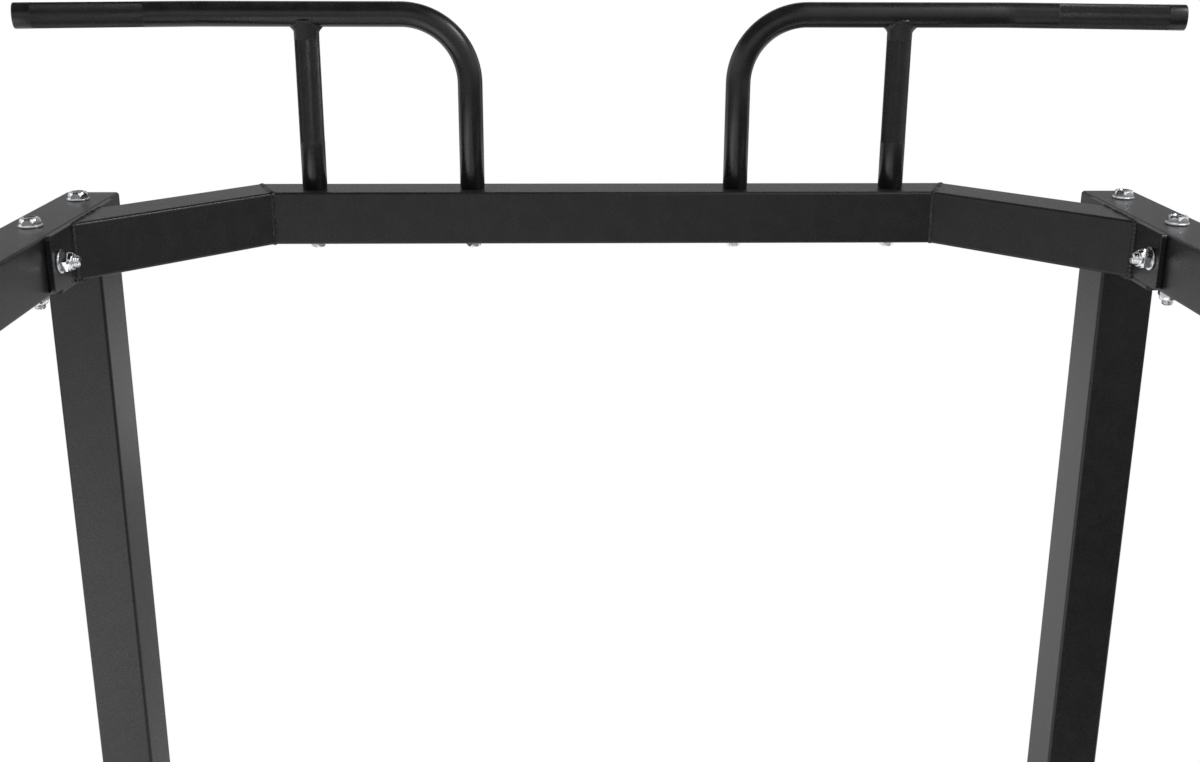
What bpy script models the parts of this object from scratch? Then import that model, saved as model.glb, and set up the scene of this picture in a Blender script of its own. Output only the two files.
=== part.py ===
"""A free-standing power rack of 60 mm square tube on 60 x 70 mm uprights.

A bowed pull-up crossmember with two J-shaped grips closes the top of its rear.

The origin is on the floor under the middle of the rack. +Z is up, +X is to the right, and +Y points to the
rear, where the pull-up crossmember is. The bar is racked on the J-hooks at the front.
"""

import math

import bmesh
import bpy
from mathutils import Matrix, Vector

# Overall sizes
CAGE_HEIGHT = 2.000  # floor to the top of the side beams
CAGE_DEPTH = 1.310  # outer face of the front uprights to the outer face of the rear ones
CAGE_INSIDE = 1.100  # clear width between the left and right side frames

# Tube
TUBE = 0.060  # side of the square tube, and width of the uprights across the rack
UPRIGHT_DEPTH = 0.070  # front to back
TUBE_WALL = 0.003
TUBE_CORNER = 0.005  # outer corner radius
TUBE_CORNER_STEPS = 2

# Clearances
SEAT = 0.0003  # between pieces that touch
BOLT_CLEARANCE = 0.0008  # round a bolt in its hole
ROD_CLEARANCE = 0.0015  # round a rod or a peg in the row holes
HOOK_CLEARANCE = 0.00075  # between a J-hook and each side of its upright
LUG_CLEARANCE = 0.0005  # round a plug in a tube
WELD_LAP = 0.001  # how far welded shapes run into each other

# Side beams on top and side rails on the floor
BEAM_OVERHANG = 0.013  # past the uprights' outer faces, at each end

# Flange welded across each end of an upright
FLANGE = 0.005
FLANGE_REACH = 0.121  # past the upright's face that looks into the cage
FLANGE_BOLT_OFFSET = 0.004  # outer bolt, outwards from the upright's centre
FLANGE_BOLT_SPACING = 0.142
WELD_NUT_HEX = 0.019  # across flats
WELD_NUT_HEIGHT = 0.010

# Rows of holes through the uprights, front to back
ROW_PITCH = 0.100
ROW_START = 0.450  # lowest hole, above the floor
FRONT_HOLES = 13
REAR_HOLES = 6
ROW_SIDES = 10
ROD_RADIUS = 0.0125

# Pull-up crossmember, bowed to the rear
BOW_ANGLE = math.radians(45)
BOW_SETBACK = 0.109  # its middle length, behind the rear uprights' inner faces
BOW_STRAIGHT = 0.777  # mitre to mitre along the middle length's centre line
END_PLATE = 0.006
END_PLATE_MARGIN = 0.003  # how much lower than the tube it is
END_PLATE_CORNER = 0.003
END_PLATE_CORNER_STEPS = 1
BOW_PLATE_FRONT = 0.106  # plate's end, forward of the tube's middle on it
BOW_PLATE_REAR = 0.094
BOW_BOLT_FRONT = 0.087
BOLT_PASS_GAP = 0.0015  # between an end plate's rear bolt and the flange bolt it crosses

# Straight crossmembers, at the front of the top and at the rear of the base
BRACE_PLATE = 0.130
BRACE_BOLT_SPACING = 0.100

# Grips above the pull-up crossmember
GRIP_RADIUS = 0.014
GRIP_WALL = 0.0025
GRIP_RISE = 0.1955  # crossmember's top to the bar's centre line
GRIP_LEG_X = 0.152  # bent inner leg
GRIP_POST_X = 0.333  # upright neutral grip
GRIP_BEND_RADIUS = 0.076
GRIP_ELBOW_X = 0.455  # where the bar turns a little to the front
GRIP_ELBOW_ANGLE = math.radians(12)
GRIP_ELBOW_RADIUS = 0.090
GRIP_OUTER_LENGTH = 0.189  # elbow to tip
GRIP_FOOT = 0.025  # solid plug in the foot of each leg
GRIP_TIP = 0.003
GRIP_LEVEL = 5  # bevel resolution, for a tube of fourteen sides
GRIP_BORE_LEVEL = 2
GRIP_BEND_STEPS = 6
GRIP_ELBOW_STEPS = 2

# Hexagon bolts, across flats
BOLT_RADIUS = 0.006
BOLT_HEX = 0.019
BOLT_HEAD = 0.0070
BOLT_WASHER_RADIUS = 0.012
BOLT_WASHER = 0.0020
BOLT_NUT = 0.012
BOLT_END = 0.0055  # thread past the nut
SMALL_BOLT_RADIUS = 0.005
SMALL_BOLT_HEX = 0.016
SMALL_BOLT_HEAD = 0.0064
SMALL_WASHER_RADIUS = 0.0105
SMALL_WASHER = 0.002
BOLT_SIDES = 8
BOLT_HOLE_SIDES = 8

# Rubber feet in the ends of the side rails
FOOT_PAD = 0.015
FOOT_LENGTH = 0.120  # under the rail
FOOT_WALL = 0.004  # across the rail's end
FOOT_POCKET_RADIUS = 0.015  # round the bolt head
LUG_DEPTH = 0.020

# Plastic caps in the ends of the side beams
CAP = 0.003
CAP_LUG_WALL = 0.003

# Safety rods
ROD_LEVEL = 2  # index of the hole that they lie in
ROD_TAIL = 0.015  # past the rear upright
ROD_COLLAR_RADIUS = 0.0225
ROD_COLLAR = 0.006
ROD_HANDLE = 0.045
ROD_CHAMFER = 0.002
ROD_SIDES = 14

# J-hooks
HOOK_LEVEL = 8
HOOK_REACH = 0.069  # upright's front face to the front of the lip
HOOK_WEB = 0.005
HOOK_WING = 0.026  # along the upright's sides
HOOK_PLATE_HEIGHT = 0.110
HOOK_CRADLE = 0.006
HOOK_CRADLE_WIDTH = 0.050
HOOK_CRADLE_DROP = 0.046  # peg's centre to the underside of the shelf
HOOK_CRADLE_TOP = 0.046  # peg's centre to the top of the cradle's back leg
HOOK_LIP = 0.046  # underside of the shelf to the top of the lip
HOOK_BEND = 0.012
HOOK_BEND_STEPS = 4
HOOK_LINER = 0.005
HOOK_PEG_TAIL = 0.004

# Places worked out from the sizes above
SIDE_X = CAGE_INSIDE / 2 + TUBE / 2
UPRIGHT_Y = CAGE_DEPTH / 2 - UPRIGHT_DEPTH / 2
BEAM_LENGTH = CAGE_DEPTH + 2 * BEAM_OVERHANG
RAIL_BOTTOM = FOOT_PAD + SEAT
UPRIGHT_BOTTOM = RAIL_BOTTOM + TUBE + SEAT
UPRIGHT_TOP = CAGE_HEIGHT - TUBE - SEAT
UPRIGHT_LENGTH = UPRIGHT_TOP - UPRIGHT_BOTTOM
OUTER_BOLT_Y = UPRIGHT_Y + FLANGE_BOLT_OFFSET
INNER_BOLT_Y = OUTER_BOLT_Y - FLANGE_BOLT_SPACING
BRACE_Y = (OUTER_BOLT_Y + INNER_BOLT_Y) / 2
PLATE_X = CAGE_INSIDE / 2 - SEAT - END_PLATE  # inner face of the end plates
END_PLATE_HEIGHT = TUBE - END_PLATE_MARGIN
BOW_Y = CAGE_DEPTH / 2 - UPRIGHT_DEPTH + BOW_SETBACK
BOW_FOOT_Y = BOW_Y - (PLATE_X - BOW_STRAIGHT / 2) * math.tan(BOW_ANGLE)  # tube's middle on the end plate
BOW_BOLT_REAR = OUTER_BOLT_Y - 2 * BOLT_RADIUS - BOLT_PASS_GAP - BOW_FOOT_Y
BOLT_HOLE_RADIUS = BOLT_RADIUS + BOLT_CLEARANCE
SMALL_HOLE_RADIUS = SMALL_BOLT_RADIUS + BOLT_CLEARANCE
ROW_HOLE_RADIUS = ROD_RADIUS + ROD_CLEARANCE

ALONG_X = ("Y", math.pi / 2)
ALONG_Y = ("X", math.pi / 2)
CORNERS = ((1, 1), (-1, 1), (-1, -1), (1, -1))


def arc(centre, radius, start, sweep, steps):
    """Points along an arc with both its ends, the angles in radians."""
    return [
        (
            centre[0] + radius * math.cos(start + sweep * step / steps),
            centre[1] + radius * math.sin(start + sweep * step / steps),
        )
        for step in range(steps + 1)
    ]


def circle(centre, radius, sides):
    """Points round a circle."""
    return arc(centre, radius, math.pi / sides, 2 * math.pi * (sides - 1) / sides, sides - 1)


def rectangle(width, height):
    """Points round a rectangle centred on the origin."""
    return [(side_x * width / 2, side_y * height / 2) for side_x, side_y in CORNERS]


def rounded_rectangle(width, height, radius, steps):
    """Points round a rectangle with round corners, centred on the origin."""
    points = []
    for turn, (side_x, side_y) in enumerate(CORNERS):
        centre = (side_x * (width / 2 - radius), side_y * (height / 2 - radius))
        points += arc(centre, radius, turn * math.pi / 2, math.pi / 2, steps)
    return points


def tube_outlines(depth=TUBE):
    """The outer and inner outlines of a tube as wide as the square one and as deep as said."""
    outer = rounded_rectangle(TUBE, depth, TUBE_CORNER, TUBE_CORNER_STEPS)
    return outer, rectangle(TUBE - 2 * TUBE_WALL, depth - 2 * TUBE_WALL)


def evaluated_mesh(thing):
    """A plain mesh of an object as the viewport shows it, and the object is removed."""
    bpy.context.view_layer.update()
    graph = bpy.context.evaluated_depsgraph_get()
    mesh = bpy.data.meshes.new_from_object(thing.evaluated_get(graph))
    mesh.name = thing.name
    bpy.data.objects.remove(thing)
    return mesh


def welded(mesh):
    """Merges the points that a curve's caps and sides have in common, and turns every face outwards."""
    shape = bmesh.new()
    shape.from_mesh(mesh)
    bmesh.ops.remove_doubles(shape, verts=shape.verts, dist=1e-6)
    bmesh.ops.recalc_face_normals(shape, faces=shape.faces)
    shape.to_mesh(mesh)
    shape.free()
    return mesh


def workpiece(name, data):
    """An object that stands in the workshop collection while its mesh is made."""
    thing = bpy.data.objects.new(name, data)
    WORKSHOP.objects.link(thing)
    return thing


def extruded(name, outlines, thickness):
    """A flat outline with its holes, as thick as said along Z and centred on the origin."""
    curve = bpy.data.curves.new(name, "CURVE")
    curve.dimensions = "2D"
    curve.fill_mode = "BOTH"
    curve.extrude = thickness / 2
    for outline in outlines:
        spline = curve.splines.new("POLY")
        spline.points.add(len(outline) - 1)
        for point, (x, y) in zip(spline.points, outline):
            point.co = (x, y, 0, 1)
        spline.use_cyclic_u = True
    return welded(evaluated_mesh(workpiece(name, curve)))


def bent_bar(name, path, radius, level):
    """A round bar along a path of points, with flat ends."""
    curve = bpy.data.curves.new(name, "CURVE")
    curve.dimensions = "3D"
    curve.bevel_depth = radius
    curve.bevel_resolution = level
    curve.use_fill_caps = True
    spline = curve.splines.new("POLY")
    spline.points.add(len(path) - 1)
    for point, place in zip(spline.points, path):
        point.co = (*place, 1)
    return welded(evaluated_mesh(workpiece(name, curve)))


def turned(name, profile, sides):
    """A profile of (radius, height) points, top to bottom, turned about Z."""
    mesh = bpy.data.meshes.new(name)
    points = [(radius, 0, height) for radius, height in profile]
    mesh.from_pydata(points, [(index, index + 1) for index in range(len(points) - 1)], [])
    thing = workpiece(name, mesh)
    screw = thing.modifiers.new("Turn", "SCREW")
    screw.steps = sides
    screw.render_steps = sides
    screw.use_merge_vertices = True
    screw.merge_threshold = 0.00005
    return welded(evaluated_mesh(thing))


def prism(name, radius, length, sides):
    """A cylinder or a hexagon along Z, centred on the origin, with a corner on +X."""
    mesh = bpy.data.meshes.new(name)
    shape = bmesh.new()
    bmesh.ops.create_cone(
        shape, cap_ends=True, segments=sides, radius1=radius, radius2=radius, depth=length
    )
    bmesh.ops.rotate(shape, verts=shape.verts, matrix=Matrix.Rotation(math.pi / sides, 3, "Z"))
    shape.to_mesh(mesh)
    shape.free()
    return mesh


def block(name, size_x, size_y, size_z):
    """A box centred on the origin."""
    mesh = bpy.data.meshes.new(name)
    shape = bmesh.new()
    bmesh.ops.create_cube(shape, size=1)
    bmesh.ops.scale(shape, verts=shape.verts, vec=(size_x, size_y, size_z))
    shape.to_mesh(mesh)
    shape.free()
    return mesh


def placed(mesh, x=0.0, y=0.0, z=0.0, turn=None):
    """The mesh turned by an (axis, angle) pair and then moved."""
    matrix = Matrix.Translation((x, y, z))
    if turn:
        matrix @= Matrix.Rotation(turn[1], 4, turn[0])
    mesh.transform(matrix)
    return mesh


def combined(base, joined=(), cut=()):
    """One solid: the base with some meshes united to it and then others taken away."""
    thing = workpiece(base.name, base)
    helpers = []
    for operation, meshes in (("UNION", joined), ("DIFFERENCE", cut)):
        for mesh in meshes:
            helper = workpiece(mesh.name, mesh)
            helper.hide_render = True
            helper.display_type = "WIRE"
            boolean = thing.modifiers.new(mesh.name, "BOOLEAN")
            boolean.operation = operation
            boolean.solver = "EXACT"
            boolean.object = helper
            helpers.append(helper)
    mesh = evaluated_mesh(thing)
    for helper in helpers:
        bpy.data.objects.remove(helper)
    return mesh


def bolt_hole(radius, length, turn=None, **place):
    """A cutter for a bolt's hole."""
    return placed(prism("bolt_hole", radius, length, BOLT_HOLE_SIDES), turn=turn, **place)


def upright_mesh(holes):
    """An upright with its flanges to -Y and its row of holes along Y, standing on the origin."""
    tube = extruded("upright", tube_outlines(UPRIGHT_DEPTH), UPRIGHT_LENGTH - 2 * (FLANGE - WELD_LAP))
    placed(tube, z=UPRIGHT_LENGTH / 2)
    inner_bolt = FLANGE_BOLT_OFFSET - FLANGE_BOLT_SPACING
    joined = []
    cut = []
    for level, inwards in ((FLANGE / 2, 1), (UPRIGHT_LENGTH - FLANGE / 2, -1)):
        flange = block("flange", TUBE, UPRIGHT_DEPTH + FLANGE_REACH, FLANGE)
        joined.append(placed(flange, y=-FLANGE_REACH / 2, z=level))
        nut_ends = sorted(level + inwards * reach for reach in (0, FLANGE / 2 + WELD_NUT_HEIGHT))
        joined.append(placed(hexagon("weld_nut", WELD_NUT_HEX, *nut_ends), y=FLANGE_BOLT_OFFSET))
        for y in (FLANGE_BOLT_OFFSET, inner_bolt):
            cut.append(bolt_hole(BOLT_HOLE_RADIUS, TUBE, y=y, z=level))
    for index in range(holes):
        row_hole = prism("row_hole", ROW_HOLE_RADIUS, 2 * UPRIGHT_DEPTH, ROW_SIDES)
        z = ROW_START + index * ROW_PITCH - UPRIGHT_BOTTOM
        cut.append(placed(row_hole, z=z, turn=ALONG_Y))
    return combined(tube, joined, cut)


def beam_mesh(name, upright_holes, side_holes):
    """A side beam or rail along Y, with bolt holes down through it and across it."""
    tube = placed(extruded(name, tube_outlines(), BEAM_LENGTH), turn=ALONG_Y)
    side_z = (TUBE - END_PLATE_HEIGHT) / 2
    cut = [bolt_hole(BOLT_HOLE_RADIUS, 2 * TUBE, y=y) for y in upright_holes]
    cut += [bolt_hole(BOLT_HOLE_RADIUS, 2 * TUBE, ALONG_X, y=y, z=side_z) for y in side_holes]
    return combined(tube, cut=cut)


def end_plate(length, bolts):
    """An end plate across X with its bolt holes, its length along Y and centred on the origin."""
    outline = rounded_rectangle(END_PLATE_HEIGHT, length, END_PLATE_CORNER, END_PLATE_CORNER_STEPS)
    holes = [circle((0, y), BOLT_HOLE_RADIUS, BOLT_HOLE_SIDES) for y in bolts]
    return placed(extruded("end_plate", [outline, *holes], END_PLATE), turn=ALONG_X)


def mitred_bar(name, outline, end_x):
    """An outline run along X in three mitred lengths, bowed to +Y and centred on the middle length.

    The outline's points are (across, height), and both ends are cut square to X at end_x.
    """
    along = Vector((math.cos(BOW_ANGLE), -math.sin(BOW_ANGLE)))
    mitre = Vector((math.tan(BOW_ANGLE / 2), 1))

    def section(side, at_end):
        points = []
        for across, height in outline:
            point = Vector((BOW_STRAIGHT / 2, 0)) + across * mitre
            if at_end:
                point += along * ((end_x - point.x) / along.x)
            points.append((side * point.x, point.y, height))
        return points

    shape = bmesh.new()
    stations = ((-1, True), (-1, False), (1, False), (1, True))
    rings = [[shape.verts.new(point) for point in section(*station)] for station in stations]
    for first, second in zip(rings, rings[1:]):
        for index in range(len(outline)):
            shape.faces.new((first[index - 1], first[index], second[index], second[index - 1]))
    shape.faces.new(rings[0])
    shape.faces.new(rings[-1])
    bmesh.ops.recalc_face_normals(shape, faces=shape.faces)
    mesh = bpy.data.meshes.new(name)
    shape.to_mesh(mesh)
    shape.free()
    return mesh


def pullup_mesh():
    """The bowed crossmember with its end plates and the holes for the grips' bolts."""
    plate_middle = (BOW_PLATE_REAR - BOW_PLATE_FRONT) / 2
    bolts = (-BOW_BOLT_FRONT - plate_middle, BOW_BOLT_REAR - plate_middle)
    joined = [
        placed(
            end_plate(BOW_PLATE_FRONT + BOW_PLATE_REAR, bolts),
            x=side * (PLATE_X + END_PLATE / 2),
            y=BOW_FOOT_Y - BOW_Y + plate_middle,
            z=(TUBE - END_PLATE_HEIGHT) / 2,
        )
        for side in (-1, 1)
    ]
    cut = [
        bolt_hole(SMALL_HOLE_RADIUS, 2 * TUBE, x=x)
        for x in (-GRIP_POST_X, -GRIP_LEG_X, GRIP_LEG_X, GRIP_POST_X)
    ]
    outer, inner = tube_outlines()
    tube = mitred_bar("pullup_crossmember", outer, PLATE_X + WELD_LAP)
    tube = combined(tube, cut=[mitred_bar("bore", inner, PLATE_X + 2 * WELD_LAP)])
    return combined(tube, joined, cut)


def brace_mesh():
    """A straight crossmember along X with its end plates and a drain hole in each."""
    tube = placed(extruded("brace", tube_outlines(), 2 * (PLATE_X + WELD_LAP)), turn=ALONG_X)
    bolts = (-BRACE_BOLT_SPACING / 2, BRACE_BOLT_SPACING / 2)
    joined = [
        placed(
            end_plate(BRACE_PLATE, bolts),
            x=side * (PLATE_X + END_PLATE / 2),
            z=(TUBE - END_PLATE_HEIGHT) / 2,
        )
        for side in (-1, 1)
    ]
    return combined(tube, joined, [bolt_hole(BOLT_HOLE_RADIUS, 2 * CAGE_INSIDE, ALONG_X)])


def grip_paths(side, foot, tip):
    """The centre lines of a grip's bent bar and of its upright post, as lists of (x, y, z).

    The bar starts foot above the crossmember and stops tip short of its end.
    """
    bend_start = GRIP_RISE - GRIP_BEND_RADIUS
    bar = [(side * GRIP_LEG_X, 0, foot)]
    bend_centre = (GRIP_LEG_X + GRIP_BEND_RADIUS, bend_start)
    for x, z in arc(bend_centre, GRIP_BEND_RADIUS, math.pi, -math.pi / 2, GRIP_BEND_STEPS):
        bar.append((side * x, 0, z))
    run = GRIP_ELBOW_RADIUS * math.tan(GRIP_ELBOW_ANGLE / 2)
    elbow_centre = (GRIP_ELBOW_X - run, -GRIP_ELBOW_RADIUS)
    for x, y in arc(elbow_centre, GRIP_ELBOW_RADIUS, math.pi / 2, -GRIP_ELBOW_ANGLE, GRIP_ELBOW_STEPS):
        bar.append((side * x, y, GRIP_RISE))
    reach = GRIP_OUTER_LENGTH - tip
    tip_x = GRIP_ELBOW_X + reach * math.cos(GRIP_ELBOW_ANGLE)
    bar.append((side * tip_x, -reach * math.sin(GRIP_ELBOW_ANGLE), GRIP_RISE))
    post = [(side * GRIP_POST_X, 0, foot), (side * GRIP_POST_X, 0, GRIP_RISE)]
    return bar, post


def grip_mesh(side):
    """A J-shaped grip standing on the crossmember's top, hollow but for a plug in each foot."""
    bar, post = grip_paths(side, SEAT, 0)
    inner_bar, inner_post = grip_paths(side, GRIP_FOOT, GRIP_TIP)
    inner_post[-1] = (inner_post[-1][0], 0, GRIP_RISE - GRIP_RADIUS - GRIP_WALL)
    cut = [
        bent_bar("bar_bore", inner_bar, GRIP_RADIUS - GRIP_WALL, GRIP_BORE_LEVEL),
        bent_bar("post_bore", inner_post, GRIP_RADIUS - GRIP_WALL, GRIP_BORE_LEVEL),
    ]
    for x in (GRIP_LEG_X, GRIP_POST_X):
        cut.append(bolt_hole(SMALL_HOLE_RADIUS, 2 * (GRIP_FOOT + WELD_LAP), x=side * x))
    outer = bent_bar("grip_handle", bar, GRIP_RADIUS, GRIP_LEVEL)
    return combined(outer, [bent_bar("post", post, GRIP_RADIUS, GRIP_LEVEL)], cut)


def bolt_mesh(grip):
    """A hexagon bolt with its washers and locking nut.

    The head sits on the plane z = 0 and the nut on z = -grip.
    """
    head = SEAT + BOLT_WASHER
    nut = -grip - SEAT - BOLT_WASHER
    end = nut - BOLT_NUT - BOLT_END
    profile = (
        (0, head + BOLT_HEAD / 2),
        (BOLT_RADIUS, head + BOLT_HEAD / 2),
        (BOLT_RADIUS, head),
        (BOLT_WASHER_RADIUS, head),
        (BOLT_WASHER_RADIUS, SEAT),
        (BOLT_RADIUS, SEAT),
        (BOLT_RADIUS, -grip - SEAT),
        (BOLT_WASHER_RADIUS, -grip - SEAT),
        (BOLT_WASHER_RADIUS, nut),
        (BOLT_RADIUS, nut),
        (BOLT_RADIUS, end),
        (0, end),
    )
    hexagons = (
        hexagon("head", BOLT_HEX, head - WELD_LAP, head + BOLT_HEAD),
        hexagon("nut", BOLT_HEX, nut - BOLT_NUT, nut + WELD_LAP),
    )
    return combined(turned("bolt", profile, BOLT_SIDES), hexagons)


def screw_mesh(name, radius, hex_size, head_height, washer_radius, washer, depth):
    """A hexagon screw with one washer, its head on the plane z = 0 and its end depth below it."""
    head = SEAT + washer
    profile = (
        (0, head + head_height / 2),
        (radius, head + head_height / 2),
        (radius, head),
        (washer_radius, head),
        (washer_radius, SEAT),
        (radius, SEAT),
        (radius, -depth),
        (0, -depth),
    )
    hexagons = (hexagon("head", hex_size, head - WELD_LAP / 2, head + head_height),)
    return combined(turned(name, profile, BOLT_SIDES), hexagons)


def hexagon(name, across_flats, bottom, top):
    """A hexagonal prism between two heights, with a corner on +X."""
    corner = across_flats / math.sqrt(3)
    mesh = prism(name, corner, top - bottom, 6)
    return placed(mesh, z=(top + bottom) / 2, turn=("Z", math.pi / 6))


def lug_size():
    """The width of a plug that fits the square tube's bore."""
    return TUBE - 2 * TUBE_WALL - 2 * LUG_CLEARANCE


def cap_mesh():
    """A plastic cap for a beam's end: the plug reaches to -Z, and the flange's inner face is at z = 0."""
    plug = lug_size()
    hollow = plug - 2 * CAP_LUG_WALL
    outer_outline = tube_outlines()[0]
    flange = placed(extruded("beam_cap", [outer_outline], CAP), z=SEAT + CAP / 2)
    outlines = (rectangle(plug, plug), rectangle(hollow, hollow))
    lug = placed(extruded("lug", outlines, LUG_DEPTH + WELD_LAP), z=(WELD_LAP - LUG_DEPTH) / 2)
    return combined(flange, [lug])


def foot_mesh():
    """A rubber foot for a rail's end, reaching to -Y from the rail's end at y = 0, its sole at z = 0.

    It has a pad under the rail with a pocket round the bolt head, a wall across the end and a plug.
    """
    pad = block("rail_foot", TUBE, FOOT_LENGTH + SEAT + FOOT_WALL, FOOT_PAD)
    placed(pad, y=(SEAT + FOOT_WALL - FOOT_LENGTH) / 2, z=FOOT_PAD / 2)
    wall_height = FOOT_PAD + SEAT + TUBE
    wall = placed(block("wall", TUBE, FOOT_WALL, wall_height), y=SEAT + FOOT_WALL / 2, z=wall_height / 2)
    plug = lug_size()
    lug = block("lug", plug, LUG_DEPTH + WELD_LAP, plug)
    placed(lug, y=SEAT + (WELD_LAP - LUG_DEPTH) / 2, z=RAIL_BOTTOM + TUBE / 2)
    pocket = prism("pocket", FOOT_POCKET_RADIUS, 3 * FOOT_PAD, BOLT_SIDES)
    placed(pocket, y=OUTER_BOLT_Y - BEAM_LENGTH / 2)
    return combined(pad, [wall, lug], [pocket])


def rod_mesh():
    """A safety rod along +Z, its collar's seat at z = 0 and its handle below."""
    length = CAGE_DEPTH + ROD_TAIL
    handle_end = -ROD_COLLAR - ROD_HANDLE
    profile = (
        (0, length),
        (ROD_RADIUS - ROD_CHAMFER, length),
        (ROD_RADIUS, length - ROD_CHAMFER),
        (ROD_RADIUS, -SEAT),
        (ROD_COLLAR_RADIUS, -SEAT),
        (ROD_COLLAR_RADIUS, -SEAT - ROD_COLLAR),
        (ROD_RADIUS, -SEAT - ROD_COLLAR),
        (ROD_RADIUS, handle_end + ROD_CHAMFER),
        (ROD_RADIUS - ROD_CHAMFER, handle_end),
        (0, handle_end),
    )
    return turned("safety_rod", profile, ROD_SIDES)


def cradle_line(inset, top, lip):
    """The J-hook cradle's centre line as (y, z) points, inset from its outer face.

    y = 0 is the front face of the hook's web and runs to -Y, and z = 0 is the peg's centre.
    """
    back = WELD_LAP - inset
    front = -(HOOK_REACH - SEAT - HOOK_WEB) + inset
    floor = -HOOK_CRADLE_DROP + inset
    radius = HOOK_BEND - inset
    line = [(back, top)]
    line += arc((back - radius, floor + radius), radius, 0, -math.pi / 2, HOOK_BEND_STEPS)
    line += arc((front + radius, floor + radius), radius, -math.pi / 2, -math.pi / 2, HOOK_BEND_STEPS)
    line.append((front, -HOOK_CRADLE_DROP + lip))
    return line


def ribbon(line, thickness):
    """The outline of a strip of even thickness along a line of points."""
    points = [Vector(point) for point in line]
    left = []
    right = []
    for index, point in enumerate(points):
        before = (point - points[index - 1]).normalized() if index else None
        after = (points[index + 1] - point).normalized() if index + 1 < len(points) else None
        sides = [Vector((-way.y, way.x)) for way in (before, after) if way is not None]
        normal = sum(sides[1:], sides[0]) / (1 + sides[0].dot(sides[-1]) if len(sides) > 1 else 1)
        left.append(point + normal * thickness / 2)
        right.append(point - normal * thickness / 2)
    return [tuple(point) for point in left + right[::-1]]


def strip(name, line, thickness, width):
    """A bent strip that lies along (y, z) points and is as wide as said along X."""
    mesh = extruded(name, [ribbon(line, thickness)], width)
    mesh.transform(Matrix(((0, 0, 1, 0), (1, 0, 0, 0), (0, 1, 0, 0), (0, 0, 0, 1))))
    return mesh


def hook_mesh():
    """A J-hook: a channel round the upright, a peg to +Y through it and a cradle to -Y.

    y = 0 is the front face of the channel's web and z = 0 is the peg's centre.
    """
    inside = TUBE / 2 + HOOK_CLEARANCE
    outside = inside + HOOK_WEB
    reach = HOOK_WEB + HOOK_WING
    half = [(outside, 0), (outside, reach), (inside, reach), (inside, HOOK_WEB)]
    outline = half + [(-x, y) for x, y in reversed(half)]
    channel = extruded("jhook", [outline], HOOK_PLATE_HEIGHT)
    line = cradle_line(HOOK_CRADLE / 2, HOOK_CRADLE_TOP, HOOK_LIP)
    cradle = strip("cradle", line, HOOK_CRADLE, HOOK_CRADLE_WIDTH)
    peg_length = HOOK_WEB + SEAT + UPRIGHT_DEPTH + HOOK_PEG_TAIL - WELD_LAP
    peg = prism("peg", ROD_RADIUS, peg_length, ROW_SIDES)
    placed(peg, y=WELD_LAP + peg_length / 2, turn=ALONG_Y)
    return combined(channel, [cradle, peg])


def liner_mesh():
    """The plastic liner inside the cradle, in the hook's own frame."""
    inset = HOOK_CRADLE + SEAT + HOOK_LINER / 2
    line = cradle_line(inset, HOOK_CRADLE_TOP - HOOK_LINER, HOOK_LIP - HOOK_LINER)
    return strip("jhook_liner", line, HOOK_LINER, HOOK_CRADLE_WIDTH)


def material(name, colour, roughness, metallic):
    """A plain surface."""
    surface = bpy.data.materials.new(name)
    surface.use_nodes = True
    shader = surface.node_tree.nodes["Principled BSDF"]
    shader.inputs["Base Color"].default_value = (*colour, 1)
    shader.inputs["Roughness"].default_value = roughness
    shader.inputs["Metallic"].default_value = metallic
    surface.diffuse_color = (*colour, 1)
    return surface


def part(name, mesh, surface, location, rotation=(0, 0, 0), parent=None):
    """A finished piece, placed by its location and rotation."""
    thing = bpy.data.objects.new(name, mesh)
    RACK.objects.link(thing)
    if not mesh.materials:
        mesh.materials.append(surface)
        mesh.set_sharp_from_angle(angle=math.radians(35))
    thing.location = location
    thing.rotation_euler = rotation
    thing.parent = parent
    return thing


def joint_frame(name, location):
    """An empty on the axis that a moving piece slides along."""
    empty = bpy.data.objects.new(name, None)
    empty.empty_display_size = TUBE
    RACK.objects.link(empty)
    empty.location = location
    return empty


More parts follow.
